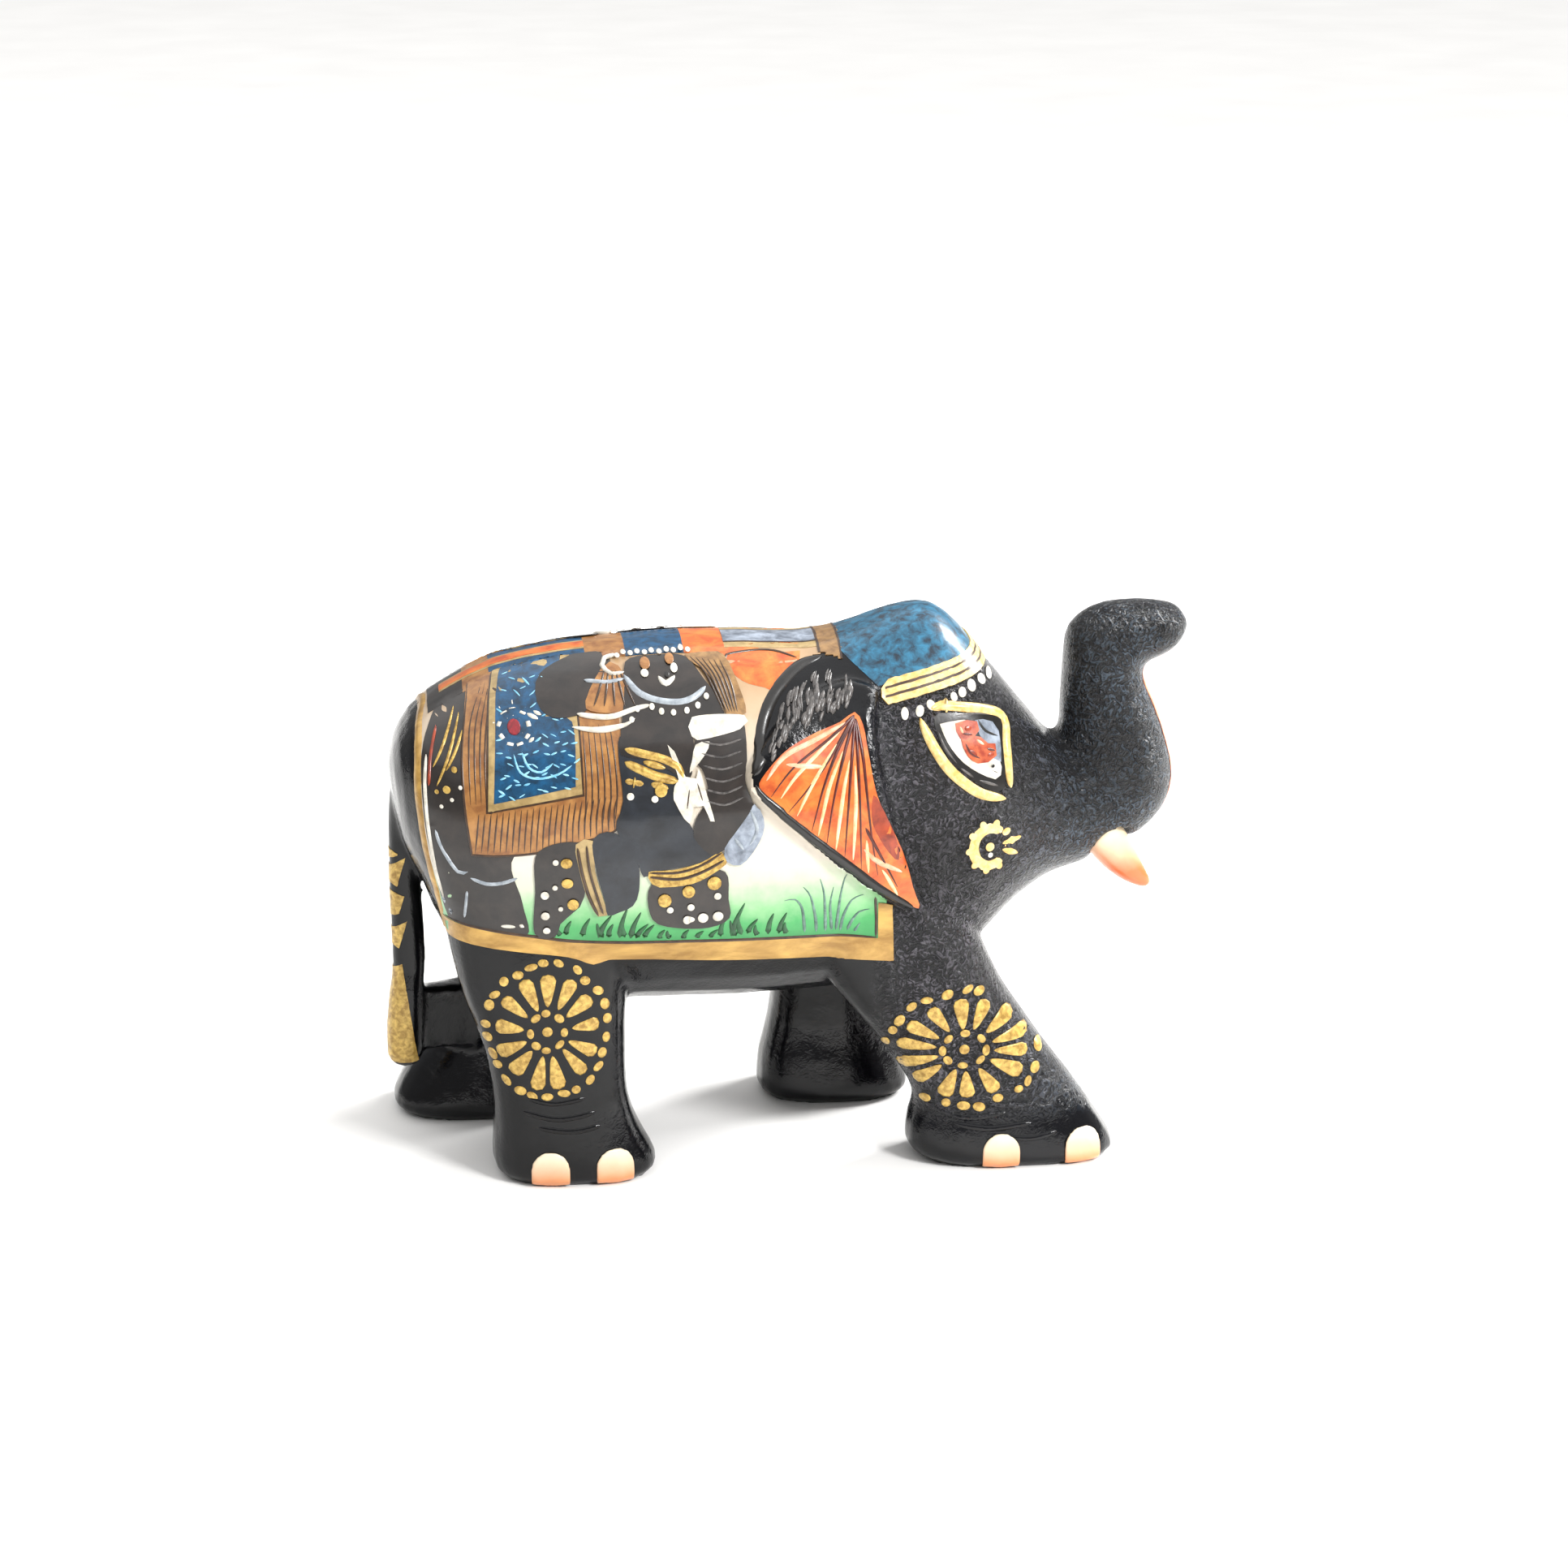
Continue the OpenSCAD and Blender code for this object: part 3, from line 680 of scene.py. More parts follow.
reeds = [[(-3, 56.5), (-1, 56.6), (0.4, 54.6), (1, 49.6)], [(0.6, 59), (2, 57), (3, 52.5), (3.2, 49.5)],
         [(3.8, 60.4), (4.6, 57), (5, 49.5)], [(6.4, 58.6), (5.8, 55), (6.2, 49.6)],
         [(8.9, 61.4), (7.8, 57), (7, 49.6)], [(12.2, 56.6), (10, 55.6), (8.4, 52.6), (7.8, 49.4)],
         [(13.4, 53.4), (11.4, 53), (9.8, 51), (9.2, 49.4)], [(11.6, 50.8), (10.8, 49.6), (10.5, 49.2)]]

for side in (right, left):
    layPaint("scenery", side, [
        ("orange", "patch", scenery["sunset"]),
        ("brownBlack", "patch", scenery["rump"]),
        ("darkGreen", "strokes", [whip(1.35, (ax, az), ((ax + bx) / 2 - 0.3, (az + bz) / 2), (bx, bz))
                                  for ax, az, bx, bz in blades]),
        ("reed", "strokes", [whip(0.7, *reversed(points)) for points in reeds]),
        ("umber", "strokes", [line(0.6, (-12.6, 98), (-12, 99.4), (-4, 99.6), (1.2, 98.6))]),
        ("grey", "strokes", [line(0.7, (-67.6, 71.1), (-66.4, 67.6), (-63.7, 63.6), (-61.9, 63.8)),
                             line(0.7, (-61.4, 62.6), (-58.6, 61.6), (-55.6, 61.8), (-52.8, 62.8)),
                             line(0.5, (-62.1, 59.9), (-62.7, 54.1)),
                             brush(1.2, (-66.6, 57.8), (-66.2, 56.2)), brush(1.2, (-65.4, 55.3), (-65, 54))]),
        ("white", "strokes", [brush(0.7, (-56, 53), (-53.4, 52.9)),
                              brush(0.7, (-52.6, 53.3), (-51.8, 52.9))]),
        ("gold", "strokes", [brush(0.6, (-62.5, 90.8), (-64.6, 84.6), (-67, 79.2)),
                             brush(0.6, (-62, 88.5), (-63.4, 85.2), (-65.2, 82)),
                             brush(0.6, (-63.4, 91.4), (-65.6, 86), (-67.6, 82.2))]),
        ("gold", "beads", [(-65.2, 78.8, 1.5), (-63.7, 82.3, 1.2), (-67, 78.2, 0.9)]),
        ("white", "beads", [(-62.7, 79.4, 0.8), (-64.3, 77.1, 0.8), (-66.2, 75.7, 0.8)]),
    ], base=0.14, rise=0.03)


spine = {"foot": 86, "fields": (  # rear, front, half width, paint, lift
    (-68.2, -61.6, 8.5, "brownBlack", 0.17), (-61.6, -56.6, 8.5, "fringe", 0.17),
    (-56.6, -38.5, 8.5, "blue", 0.17),
    (-66, -38.5, 2.7, "tan", 0.21), (-66, -38.5, 1.8, "orange", 0.25), (-38.5, -31, 8.5, "fringe", 0.17),
    (-31, -20, 8.5, "blue", 0.17), (-20, -12.2, 8.5, "orange", 0.17), (-12.2, 5.4, 6.8, "tan", 0.17),
    (-12.2, 5.4, 4.3, "umber", 0.21), (-12.2, 5.4, 3.7, "stormGrey", 0.25))}
ridge = [shell("spineBand", [((0, -half, 0), (0, 1, 0)), ((0, half, 0), (0, -1, 0)),
                             ((0, 0, spine["foot"]), (0, 0, 1)),
                             ((rear, 0, 0), (1, 0, 0)), ((front, 0, 0), (-1, 0, 0))], finish, lift)
         for rear, front, half, finish, lift in spine["fields"]]
spineBand = joinAs("spineBand", ridge)
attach(spineBand, "root")

# the small elephant's saddle cloth

blanket = {
    "fringe": [(-57.4, 96.6), (-60.6, 94.6), (-61.9, 87.7), (-62.3, 82.3), (-61.9, 74.6), (-61, 67.2),
               (-61, 67.2), (-54.8, 67.2), (-48.6, 67.8), (-40.8, 69.6), (-34.3, 71.9), (-33, 76.9),
               (-32.9, 88.5), (-35, 97.6), (-44, 98.8)],
    "panel": [(-57.8, 75.4), (-57.8, 75.4), (-57.2, 88), (-56.6, 94), (-55.6, 97), (-55.6, 97), (-48.6, 98.6),
              (-41.4, 99.6), (-41.4, 99.6), (-40.8, 90.5), (-40.4, 78.4), (-40.4, 78.4)],
    "blue": [(-56.7, 76.8), (-56.7, 76.8), (-56, 88), (-55.5, 94), (-54.4, 97), (-54.4, 97), (-48.6, 98.6),
             (-42.6, 99.6), (-42.6, 99.6), (-46, 94), (-46.6, 91.2), (-41.8, 90.5), (-41.6, 79.7),
             (-41.6, 79.7)],
}

hem = [(-60.4 + i * 1.12, 67.5 + max(0, i * 1.12 - 12) * 0.28) for i in range(24)]
tassels = [brush(0.42, (x, z), (x + 0.5 - i * 0.02, z + 4), (x + 0.9, 75.2 + max(0, i * 1.12 - 2) * 0.135))
           for i, (x, z) in enumerate(hem)]
rearPleats = [brush(0.4, (-61.2 + k, 76), (-61.2 + k, 84), (-60.6 + k, 90), (-58 + k * 0.6, 95.2)) for k in
              (0.2, 1.2, 2.2, 3.1)]
frontPleats = [brush(0.42, (-34.6 - k * 1.15, 72.6 - k * 0.3), (-34 - k * 1.15, 78), (-34.2 - k * 1.1, 84),
                     (-35 - k, 90.6)) for k in range(6)]
petals = [brush(1.7, (-52.5 + 1.6 * math.cos(a), 89.5 + 1.6 * math.sin(a)),
                (-52.5 + 3.9 * math.cos(a), 89.5 + 3.9 * math.sin(a))) for a in
          (0.2 + i * math.tau / 9 for i in range(9))]
flecks = random.Random(5)
curls = []
for row in range(11):
    for column in range(9):
        x = -56 + column * 1.7 + flecks.uniform(-0.5, 0.5)
        z = 77.8 + row * 1.85 + flecks.uniform(-0.5, 0.5)
        if inside(x, z, blanket["blue"]) and math.dist((x, z), (-52.5, 89.5)) > 3.8:
            lean = flecks.uniform(-0.9, 0.9)
            curls.append(brush(flecks.uniform(0.3, 0.5), (x, z), (x + 0.6, z + lean * 0.4),
                               (x + 1.3, z + lean)))

for side in (right, left):
    layPaint("blanket", side, [
        ("fringe", "patch", blanket["fringe"]),
        ("umber", "strokes", tassels + rearPleats + frontPleats
         + [line(0.5, *blanket["fringe"][1:12])]),
        ("umber", "patch", [(x + (0.4 if x > -45 else -0.4), z - 0.4) for x, z in blanket["panel"]]),
        ("tan", "patch", blanket["panel"]),
        ("blue", "patch", blanket["blue"]),
        ("sky", "strokes", [line(0.5, (-52.8, 85.4), (-51.7, 82.3), (-48.6, 81.2), (-44.7, 81.9),
                                 (-42, 83.5)),
                            line(0.5, (-51.3, 85.8), (-50.1, 83.1), (-47.8, 82.3), (-45.5, 83.9))] + curls),
        ("white", "strokes", petals + [brush(0.9, (-50, 91.6), (-48, 90.8)),
                                       brush(0.8, (-48.8, 92), (-47.4, 91.4)),
                                       brush(0.7, (-49.9, 87.2), (-48.9, 88))]),
        ("crimson", "beads", [(-52.5, 89.5, 2.7)]),
    ], base=0.25, rise=0.035)


# the small elephant under it, from the hind leg to the trunk

smallElephant = {
    "hindLeg": [(-48.8, 68), (-49.6, 60), (-49.8, 51.5), (-46, 50.8), (-45, 53.5), (-42.5, 56), (-40.5, 59),
                (-40.4, 69)],
    "strip": [(-41.9, 69.2), (-38.6, 69.8), (-38.4, 64), (-36.7, 57.5), (-36.3, 55.2), (-38, 55), (-40, 59),
              (-41.3, 64)],
    "foreLeg": [(-38.6, 70.2), (-34.5, 71.2), (-30.6, 66), (-30.3, 60), (-31.5, 57), (-34, 55.8),
                (-36.2, 55.2), (-36.7, 58), (-38.2, 64)],
    "chest": [(-34.4, 72), (-33, 77), (-33.2, 88), (-27, 85), (-21.5, 84), (-21.6, 77), (-20.7, 72.5),
              (-18, 68.5), (-14.8, 67), (-20, 64.8), (-27, 63.6), (-29.4, 62.6), (-30.8, 66.2)],
    "foot": [(-28, 61), (-27.9, 54.1), (-23.4, 52.1), (-17.2, 51.9), (-13.4, 53.7), (-13.6, 57.6),
             (-14.2, 63), (-20, 63.4)],
    "anklet": [(-28.5, 63.6), (-24, 63.8), (-19, 65), (-14.9, 67), (-13.7, 65.4), (-15.3, 63.6), (-20.3, 61),
               (-26.5, 60.5), (-27.9, 61.2)],
    "ear": [(-48.2, 94.7), (-47, 97), (-41.2, 99), (-35.4, 99.5), (-35.6, 97), (-38.3, 92.8), (-40.8, 91.4),
            (-45.1, 91), (-47.4, 92.2)],
    "fan": [(-35.8, 97.8), (-32.5, 98.2), (-30.4, 94.3), (-30.4, 92), (-39.1, 92.4)],
    "head": [(-33, 88), (-31.8, 95), (-31.2, 98.6), (-26, 99.4), (-20, 99.2), (-17, 96.5), (-14, 93),
             (-13.5, 91), (-19, 90.4), (-19.6, 85), (-20.6, 80.4), (-24, 82), (-28, 84), (-33, 85)],
    "headdress": [(-20, 99.3), (-15, 99.6), (-12.6, 99.2), (-11, 96.6), (-9.5, 91.2), (-13, 90.6),
                  (-13.6, 93.2), (-15.7, 96.6), (-17.6, 98)],
    "trunk": [(-18.6, 88), (-13, 89), (-10.2, 90), (-9.7, 85), (-9.8, 80), (-8.6, 76), (-9.6, 73.5),
              (-12.2, 70), (-14.2, 67.4), (-17, 66.6), (-20, 70), (-19.5, 73.5), (-18, 75.6), (-17.2, 79),
              (-18.2, 82.2), (-19.6, 84)],
    "curl": [(-8.3, 75.9), (-6.9, 73), (-7.1, 69.9), (-9.1, 66.5), (-11.4, 64.3), (-13.9, 65.1),
             (-14.3, 67.6), (-12.2, 70.5), (-9.7, 73.9)],
    "tusk": [(-19.6, 90.8), (-9.9, 90.8), (-10.8, 88.6), (-18.8, 87.1), (-19.8, 87.7)],
    "collar": [(-19.2, 86.4), (-16.6, 86.8), (-17.8, 84.3), (-20.5, 81.6), (-19.9, 83.9)],
    "flower": [(-24.4, 86.5), (-23.2, 85.4), (-21.3, 81), (-19.3, 80.6), (-18.8, 82.4), (-17.8, 79),
               (-16.1, 72.8), (-16.9, 72.9), (-18.1, 75.7), (-19.9, 75.5), (-20.8, 72.6), (-22.6, 75),
               (-23.6, 77), (-23.4, 79.4), (-22.6, 80.6)],
}

necklace = [(-30.8, 90.6), (-29.6, 92.2), (-26.9, 92.5), (-25.2, 91.8), (-23, 91.6), (-20.5, 91.8),
            (-18.4, 92.5), (-16.7, 93.8)]
browChain = [(-32.6, 99.2), (-31.4, 99.6), (-30.1, 99.5), (-28.8, 99.7), (-27.4, 99.6), (-26.1, 99.8),
             (-24.7, 99.7), (-23.3, 99.9), (-22, 99.8), (-20.6, 100), (-19.3, 99.8)]
wrinkles = [line(0.35, (-18.4 + 0.2 * i, 87 - 2.1 * i), (-14.6 + 0.1 * i, 86.2 - 2.1 * i),
                 (-10.6, 87 - 2.0 * i))
            for i in range(6)]
headHatch = [brush(0.4, (-19 + 1.1 * i, 99.1 - 0.1 * i), (-16.4 + 0.9 * i, 97 - 0.3 * i),
                   (-13.6 + 0.5 * i, 91.4))
             for i in range(6)]
fanHatch = [brush(0.4, (-35.2 + 0.7 * i, 97.6), (-37.6 + 1.9 * i, 92.7)) for i in range(5)]

for side in (right, left):
    layPaint("smallElephant", side, [
        ("brownBlack", "patch", smallElephant["hindLeg"]),
        ("tan", "patch", smallElephant["strip"]),
        ("blueBlack", "patch", smallElephant["foreLeg"]),
        ("blueBlack", "patch", smallElephant["chest"]),
        ("brownBlack", "patch", smallElephant["foot"]),
        ("gold", "patch", smallElephant["anklet"]),
        ("brownBlack", "patch", smallElephant["ear"]),
        ("fringe", "patch", smallElephant["fan"]),
        ("brownBlack", "patch", smallElephant["head"]),
        ("brownBlack", "patch", smallElephant["trunk"]),
        ("headdress", "patch", smallElephant["headdress"]),
        ("stormGrey", "patch", smallElephant["curl"]),
        ("white", "patch", smallElephant["tusk"]),
        ("white", "patch", smallElephant["collar"]),
        ("white", "patch", smallElephant["flower"]),
        ("umber", "strokes", headHatch + fanHatch + [
            line(0.5, (-28.3, 62.6), (-23, 62), (-18.6, 63.2), (-14.4, 65.4)),
            line(0.4, (-28.3, 63.4), (-23, 63.3), (-18.6, 64.6), (-14.8, 66.8)),
            line(0.5, (-41.6, 68.6), (-40.9, 64), (-39.6, 59), (-37.9, 55.2)),
            line(0.4, (-39.9, 69), (-39.4, 64), (-38, 58.6), (-37, 55.6)),
            brush(0.4, (-21.2, 75), (-20.6, 79)), brush(0.4, (-18.2, 76.4), (-19.2, 80))]),
        ("ash", "strokes", wrinkles),
        ("gold", "strokes", [line(1.3, (-32.3, 86), (-29.2, 85.2), (-25.4, 84.2), (-22.6, 82.7),
                                  (-21.7, 80.8)),
                             line(1.3, (-32.4, 83.8), (-29.2, 82.3), (-26.5, 81.2), (-22.6, 80.2)),
                             brush(1.7, (-32.4, 80.6), (-29.2, 80)), brush(1.1, (-29, 83.8), (-25, 82.6)),
                             brush(1.5, (-27.6, 80), (-24.6, 79))]),
        ("grey", "strokes", [line(1.2, (-31.7, 97), (-29.2, 94.7), (-25.7, 93.5), (-21.5, 93.2),
                                  (-18.8, 93.9), (-16.7, 95.3)),
                             line(0.8, (-39.1, 96.3), (-35, 96.1), (-31.7, 96.5)),
                             brush(0.7, (-9.4, 74.6), (-8.2, 71), (-9.6, 68)),
                             brush(0.6, (-12.4, 69.4), (-10.8, 67.2))]),
        ("white", "strokes", [line(0.9, (-40.8, 91.6), (-35, 91.2), (-30.4, 92.2), (-27.3, 92.8)),
                              brush(1.0, (-41.8, 89.6), (-37, 89.2), (-32, 89.9), (-30.2, 90.8)),
                              brush(1.2, (-25.3, 96.8), (-24, 95.9), (-22.3, 96.8)),
                              line(0.8, (-32.6, 99.4), (-35, 99), (-35.6, 98.2), (-34, 97.2), (-31.6, 97.4)),
                              brush(1.2, (-21.8, 53.7), (-20, 53.7))]),
        ("white", "beads", [(x, z, 1.1) for x, z in necklace] + [(x, z, 1.1, 0.6) for x, z in browChain]
         + [(-27.8, 97.2, 1.6, 1.2), (-22.3, 97.8, 1.5, 1.4)]
         + [(-24.6, 56, 1.4), (-20.7, 56.4, 1.5), (-15.7, 58.4, 1.5), (-18.4, 54.1, 2.2), (-15.6, 54.3, 2.2),
            (-21.4, 53.8, 1.7, 1.9), (-47.8, 59.5, 1.7), (-47.8, 55.4, 1.8), (-47.6, 52.3, 1.5),
            (-45.7, 65.9, 1.2), (-45.9, 61, 1.1), (-44.9, 56.8, 1.0), (-31.6, 77.8, 1.5),
            (-27.1, 77.2, 1.4)]),
        ("gold", "beads", [(-25.6, 57.9, 2.8), (-21.1, 59.5, 2.6), (-16.3, 61, 2.9), (-43.7, 65.7, 2.4, 2),
                           (-43.6, 61.8, 2.4, 2), (-42.6, 57.6, 2.3), (-25.9, 78.7, 2.6)]),
        ("fringe", "beads", [(-27.6, 98.4, 2.1, 1.6), (-23, 98.9, 1.9, 1.4)]),
        ("black", "beads", [(-23.7, 97, 0.9)]),
    ], base=0.38, rise=0.02)


# the ears, painted on the carved plates

ear = {
    "fan": [(10.8, 91.1), (8, 89.6), (2, 87.6), (-3.2, 84.9), (-7.8, 79.9), (-6.3, 76.8), (-2, 73), (2, 69.6),
            (10.5, 62), (17, 57.4), (22.6, 53.6), (21.4, 58), (19.7, 64), (18.1, 67.9), (14.6, 76),
            (13.1, 83.7), (12.3, 88.8)],
    "facet": [(13.8, 76.4), (15.4, 74), (18, 67.9), (18.6, 63.6), (16.6, 65.4), (13.6, 71)],
    "rays": [[(10.6, 90.6), (6, 87), (-1.2, 82.4), (-5.6, 77.4)],
             [(10.7, 90.6), (5.6, 83.4), (1.6, 78.6), (-2.4, 74.4)],
             [(10.7, 90.4), (6.8, 84), (4.2, 78), (2, 70.6)], [(10.7, 90.2), (8.4, 84), (6.2, 76), (4.8, 68)],
             [(10.8, 90), (9.8, 83), (9, 75), (8.2, 65.2)], [(10.9, 90), (11, 83), (11.2, 74), (11.4, 62.4)],
             [(11, 90), (12, 83), (12.6, 76), (13.4, 68.4), (14.6, 61)],
             [(12.2, 70.4), (15, 65), (18.4, 58.4)]],
    "streaks": [[(8, 88.2), (2.6, 83.8), (-1, 80.6), (-3.8, 77)], [(7.6, 86.4), (2.8, 80), (-0.8, 73.6)],
                [(8.2, 84.6), (5.4, 78.3), (3.2, 69.6)], [(9.4, 83), (8, 76.8), (6.5, 66.6)],
                [(10.4, 82), (10.4, 74.8), (9.8, 64.4)], [(12.4, 68), (12.6, 64.6), (12.8, 61.6)],
                [(15.4, 62), (16.6, 60.1), (18.5, 56.6)]],
    "sheen": [[(9.4, 89.6), (3, 86.8), (-3, 84.3), (-6.4, 80.4)], [(-2.6, 83), (0.2, 82.6), (4.4, 82.2)],
              [(11.9, 66.3), (14.6, 63.6), (19.2, 61.3)]],
    # the lower edge line is black outline paint and also a painted shadow under the ear's raised edge
    "edge": [(-8.4, 79.6), (-6.9, 77.4), (-1.4, 72.2), (7.9, 64.4), (15, 58.4), (21.6, 53.8)],
    "rim": [(-8.6, 81.4), (-6.7, 88.6), (-4.8, 92.8), (-1.4, 96.2), (2.4, 98.1), (5.9, 98.8)],
    "dry": [(-7, 82.4), (-5, 87.6), (-3.2, 92), (0.2, 95.2), (3.4, 96.8), (6.4, 97.4), (10.4, 96.8),
            (11.4, 92.4), (10, 92), (2, 88.8), (-3, 86.4), (-5.6, 82.8)],
}


def dryStrokes(count, hand):
    # a nearly dry brush dragged up the ear: short broken marks that stay inside its edge
    marks = []
    while len(marks) < count:
        x, z, tall = hand.uniform(-7, 11.4), hand.uniform(82.4, 97), hand.uniform(1.2, 2.8)
        if inside(x, z, ear["dry"]) and inside(x + 0.8, z + tall, ear["dry"]):
            marks.append(brush(hand.uniform(0.3, 1.0), (x, z), (x + 0.2, z + tall / 2), (x + 0.8, z + tall)))
    return marks


for side in (right, left):
    layPaint("ear", side, [
        ("orange", "patch", ear["fan"]),
        ("rust", "patch", ear["facet"]),
        ("peach", "strokes", [brush(0.8, *points) for points in ear["streaks"]]),
        ("maroon", "strokes", [whip(0.75, *points) for points in ear["rays"]]),
        ("pink", "strokes", [brush(1.0, *points) for points in ear["sheen"]]),
        ("ash", "strokes", dryStrokes(84, random.Random(8))),
        # black outline on the ear; along its lower edge it is also a painted shadow under the raised edge
        ("black", "strokes", [line(1.3, *ear["edge"]), line(1.8, *ear["rim"])]),
    ], base=0.16, rise=0.03)


# head: marbled cap, gold band, pearls and eyes

slope = math.tan(math.radians(12.2))
rake = (-slope, 0, 1)
under = (slope, 0, -1)
head = {
    "bandFoot": (17.2, 0, 91.3),
    "bandHeight": 4.1,
    "bandBack": 16.3,
    "capBack": 9.6,
}
inFront = ((46, 0, 0), (-1, 0, 0))  # the raised trunk stays clear
footPoint = Vector(head["bandFoot"])
topPoint = footPoint + Vector((0, 0, head["bandHeight"]))

cap = shell("cap", [(topPoint - Vector((0, 0, 0.6)), rake), ((head["capBack"], 0, 0), (1, 0, 0)),
                    ((15.6, 0, 94.8), (0.81, 0, 1)), inFront], "cap", 0.1)
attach(cap, "root")
roundedEnd = [((head["bandBack"], 0, 0), (1, 0, 0)), ((16.3, 0, 94), (2.2, 0, -3.2)),
              ((16.3, 0, 92.6), (1, 0, 3)),
              inFront]
band = shell("headband", [(footPoint, rake), (topPoint, under)] + roundedEnd, "paleGold",
             0.4, thick=0.5)
seams = [shell("headbandSeam", [(footPoint + Vector((0, 0, up)), rake),
                                (footPoint + Vector((0, 0, up + 0.45)), under),
                                ((head["bandBack"] + 0.8, 0, 0), (1, 0, 0)), inFront], "umber", 0.46,
                                thick=0.3)
         for up in (1.15, 2.6)]
band = joinAs("headband", [band] + seams)
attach(band, "root")
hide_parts("headband")
print("painted the cap and the headband")

eye = {
    "socket": [(26.2, 88.9), (30.4, 89.3), (36, 88.4), (39.5, 86.8), (39.8, 82.8), (39.9, 78.6), (39.6, 74.6),
               (37, 74.6), (33.6, 76.8), (30.6, 79.4), (27.9, 82.8)],
    "white": [(27.2, 87.6), (27.2, 87.6), (30.6, 88), (33, 87.4), (33.6, 83), (38.6, 80.4), (38.9, 77.2),
              (37.8, 76.6), (34.5, 78.2), (31.6, 80.3), (29.4, 82.9), (28, 85.4)],
    "shade": [(34, 87.7), (37.6, 86.8), (38.8, 85), (39, 79.6), (37.6, 80.4), (35.6, 83.6)],
    "irisTop": [(30.2, 87.5), (32.4, 87.9), (34.4, 87.4), (34.8, 85.8), (33.6, 84.6), (31, 84.7)],
    "irisFoot": [(31.1, 84.9), (33.2, 85.1), (35, 84.6), (36.4, 83.3), (37.9, 83), (38.1, 80.9), (36.4, 79.9),
                 (34.4, 79.9), (32.3, 81.5)],
    "lower": [(23.4, 88.8), (24.3, 86.9), (26, 83.5), (28.4, 79.8), (31.4, 76.8), (35.1, 74.2), (39.8, 72.7)],
    "upper": [(26.2, 90.3), (28.4, 90.5), (31.4, 90.3), (35.9, 89.3), (39.2, 87.9), (40.5, 86), (40.4, 83),
              (40.6, 79), (40.9, 74.6)],
}
pearls = [(20.6, 89.8, 1.6, 2.5), (23.5, 90.1, 1.8, 2.3, -0.2), (25.7, 91, 1.7, 2.3, 0.6),
          (30.2, 92.1, 1.4, 1.9, 0.4), (31.9, 92.7, 1.7, 2, 0.2), (33.9, 93.5, 1.8, 2.4, 0.5),
          (36.2, 94, 1.5, 2.3, 0.8), (38.2, 94, 1.4, 1.9, 0.7)]

for side in (right, left):
    lids = layPaint("eye", side, [
        ("black", "patch", eye["socket"]),
        ("ash", "strokes", [brush(0.5, (26.8, 86.4), (28.2, 83.2), (30.4, 80.2)),
                            brush(0.5, (31, 79.4), (33.6, 77.4)),
                            brush(0.6, (34.6, 76.8), (38.4, 75.3)),
                            brush(0.5, (30, 88.8), (34, 88.9), (37.6, 88)),
                            brush(0.5, (36.8, 78.6), (38.8, 77.4))]),
        ("white", "patch", eye["white"]),
        ("stormGrey", "patch", eye["shade"]),
        ("black", "strokes", [brush(0.7, (34.6, 87.8), (36, 85.6), (38.6, 84.2))]),
        ("iris", "patch", eye["irisTop"]),
        ("iris", "patch", eye["irisFoot"]),
        ("rust", "beads", [(32.6, 86.4, 1.5, 1.1), (33.4, 81.8, 1.1, 2.2, 0.9), (37, 81.2, 1.5, 1)]),
        ("maroon", "strokes", [brush(0.5, (32, 83.8), (33, 81.9), (34.8, 80.8)),
                               brush(0.45, (31.4, 85.6), (33.4, 85.2)),
                               brush(0.5, (36.2, 82.4), (37.8, 81.8))]),
        ("pink", "strokes", [brush(0.5, (34.2, 84.2), (35.6, 83.2)), brush(0.45, (31, 86.8), (31.6, 85.6))]),
        ("black", "beads", [(37.3, 79.1, 0.7)]),
        ("paleGold", "strokes", [line(1.4, *eye["lower"]), line(1.35, *eye["upper"]),
                                 brush(2.1, (25.8, 90.4), (28.2, 90.8), (31.4, 90.4))]),
    ], base=0.1, rise=0.035)
    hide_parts("eye_line_" + nodeSides[side])
    brow = beads("browPearls" + sideNames[side], pearls, side, "white", lift=0.05)
    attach(brow, "root")
    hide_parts("brow_beads_" + nodeSides[side])

flower = {
    "centre": (36.8, 63.7),
    "radius": 4.3,
}


def ringPath(x, z, radiusX, radiusZ, start=0.0, turn=math.tau, count=16):
    return [(x + radiusX * math.cos(start + turn * i / count),
             z + radiusZ * math.sin(start + turn * i / count))
            for i in range(count + 1)]


fx, fz = flower["centre"]
for side in (right, left):
    cheek = layPaint("cheekFlower", side, [
        ("paleGold", "strokes", [line(2.1, *ringPath(fx, fz, 3.2, 3.7)),
                                 brush(1.5, (fx + 2.6, fz + 0.3), (fx + 6.4, fz + 1.1)),
                                 brush(1.3, (fx + 2.6, fz - 0.9), (fx + 5.8, fz - 2.2))]),
        ("paleGold", "beads", [(fx + 4 * math.cos(a), fz + 4.6 * math.sin(a), 1.9, 1.5, a)
                               for a in (0.6 + i * 0.66 for i in range(8))] + [(fx, fz, 1.9)]),
        ("white", "beads", [(fx + 0.1, fz - 1.6, 1.1)]),
    ], base=0.1, rise=0.02)
    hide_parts("cheek_flower_" + nodeSides[side])


# rosettes on the shoulders and thighs, toenails, tail

rosette = {
    "frontRight": {"centre": (31.8, 24.6), "size": (1.28, 1.0), "petals": 14, "tilt": -0.12},
    "frontLeft": {"centre": (10.6, 26), "size": (0.9, 0.98), "petals": 14, "tilt": 0.2},
    "rearRight": {"centre": (-47.9, 31.9), "size": (0.97, 1.15), "petals": 13, "tilt": 0.1},
    "rearLeft": {"centre": (-50, 31.4), "size": (0.95, 1.12), "petals": 13, "tilt": 0.3},
}


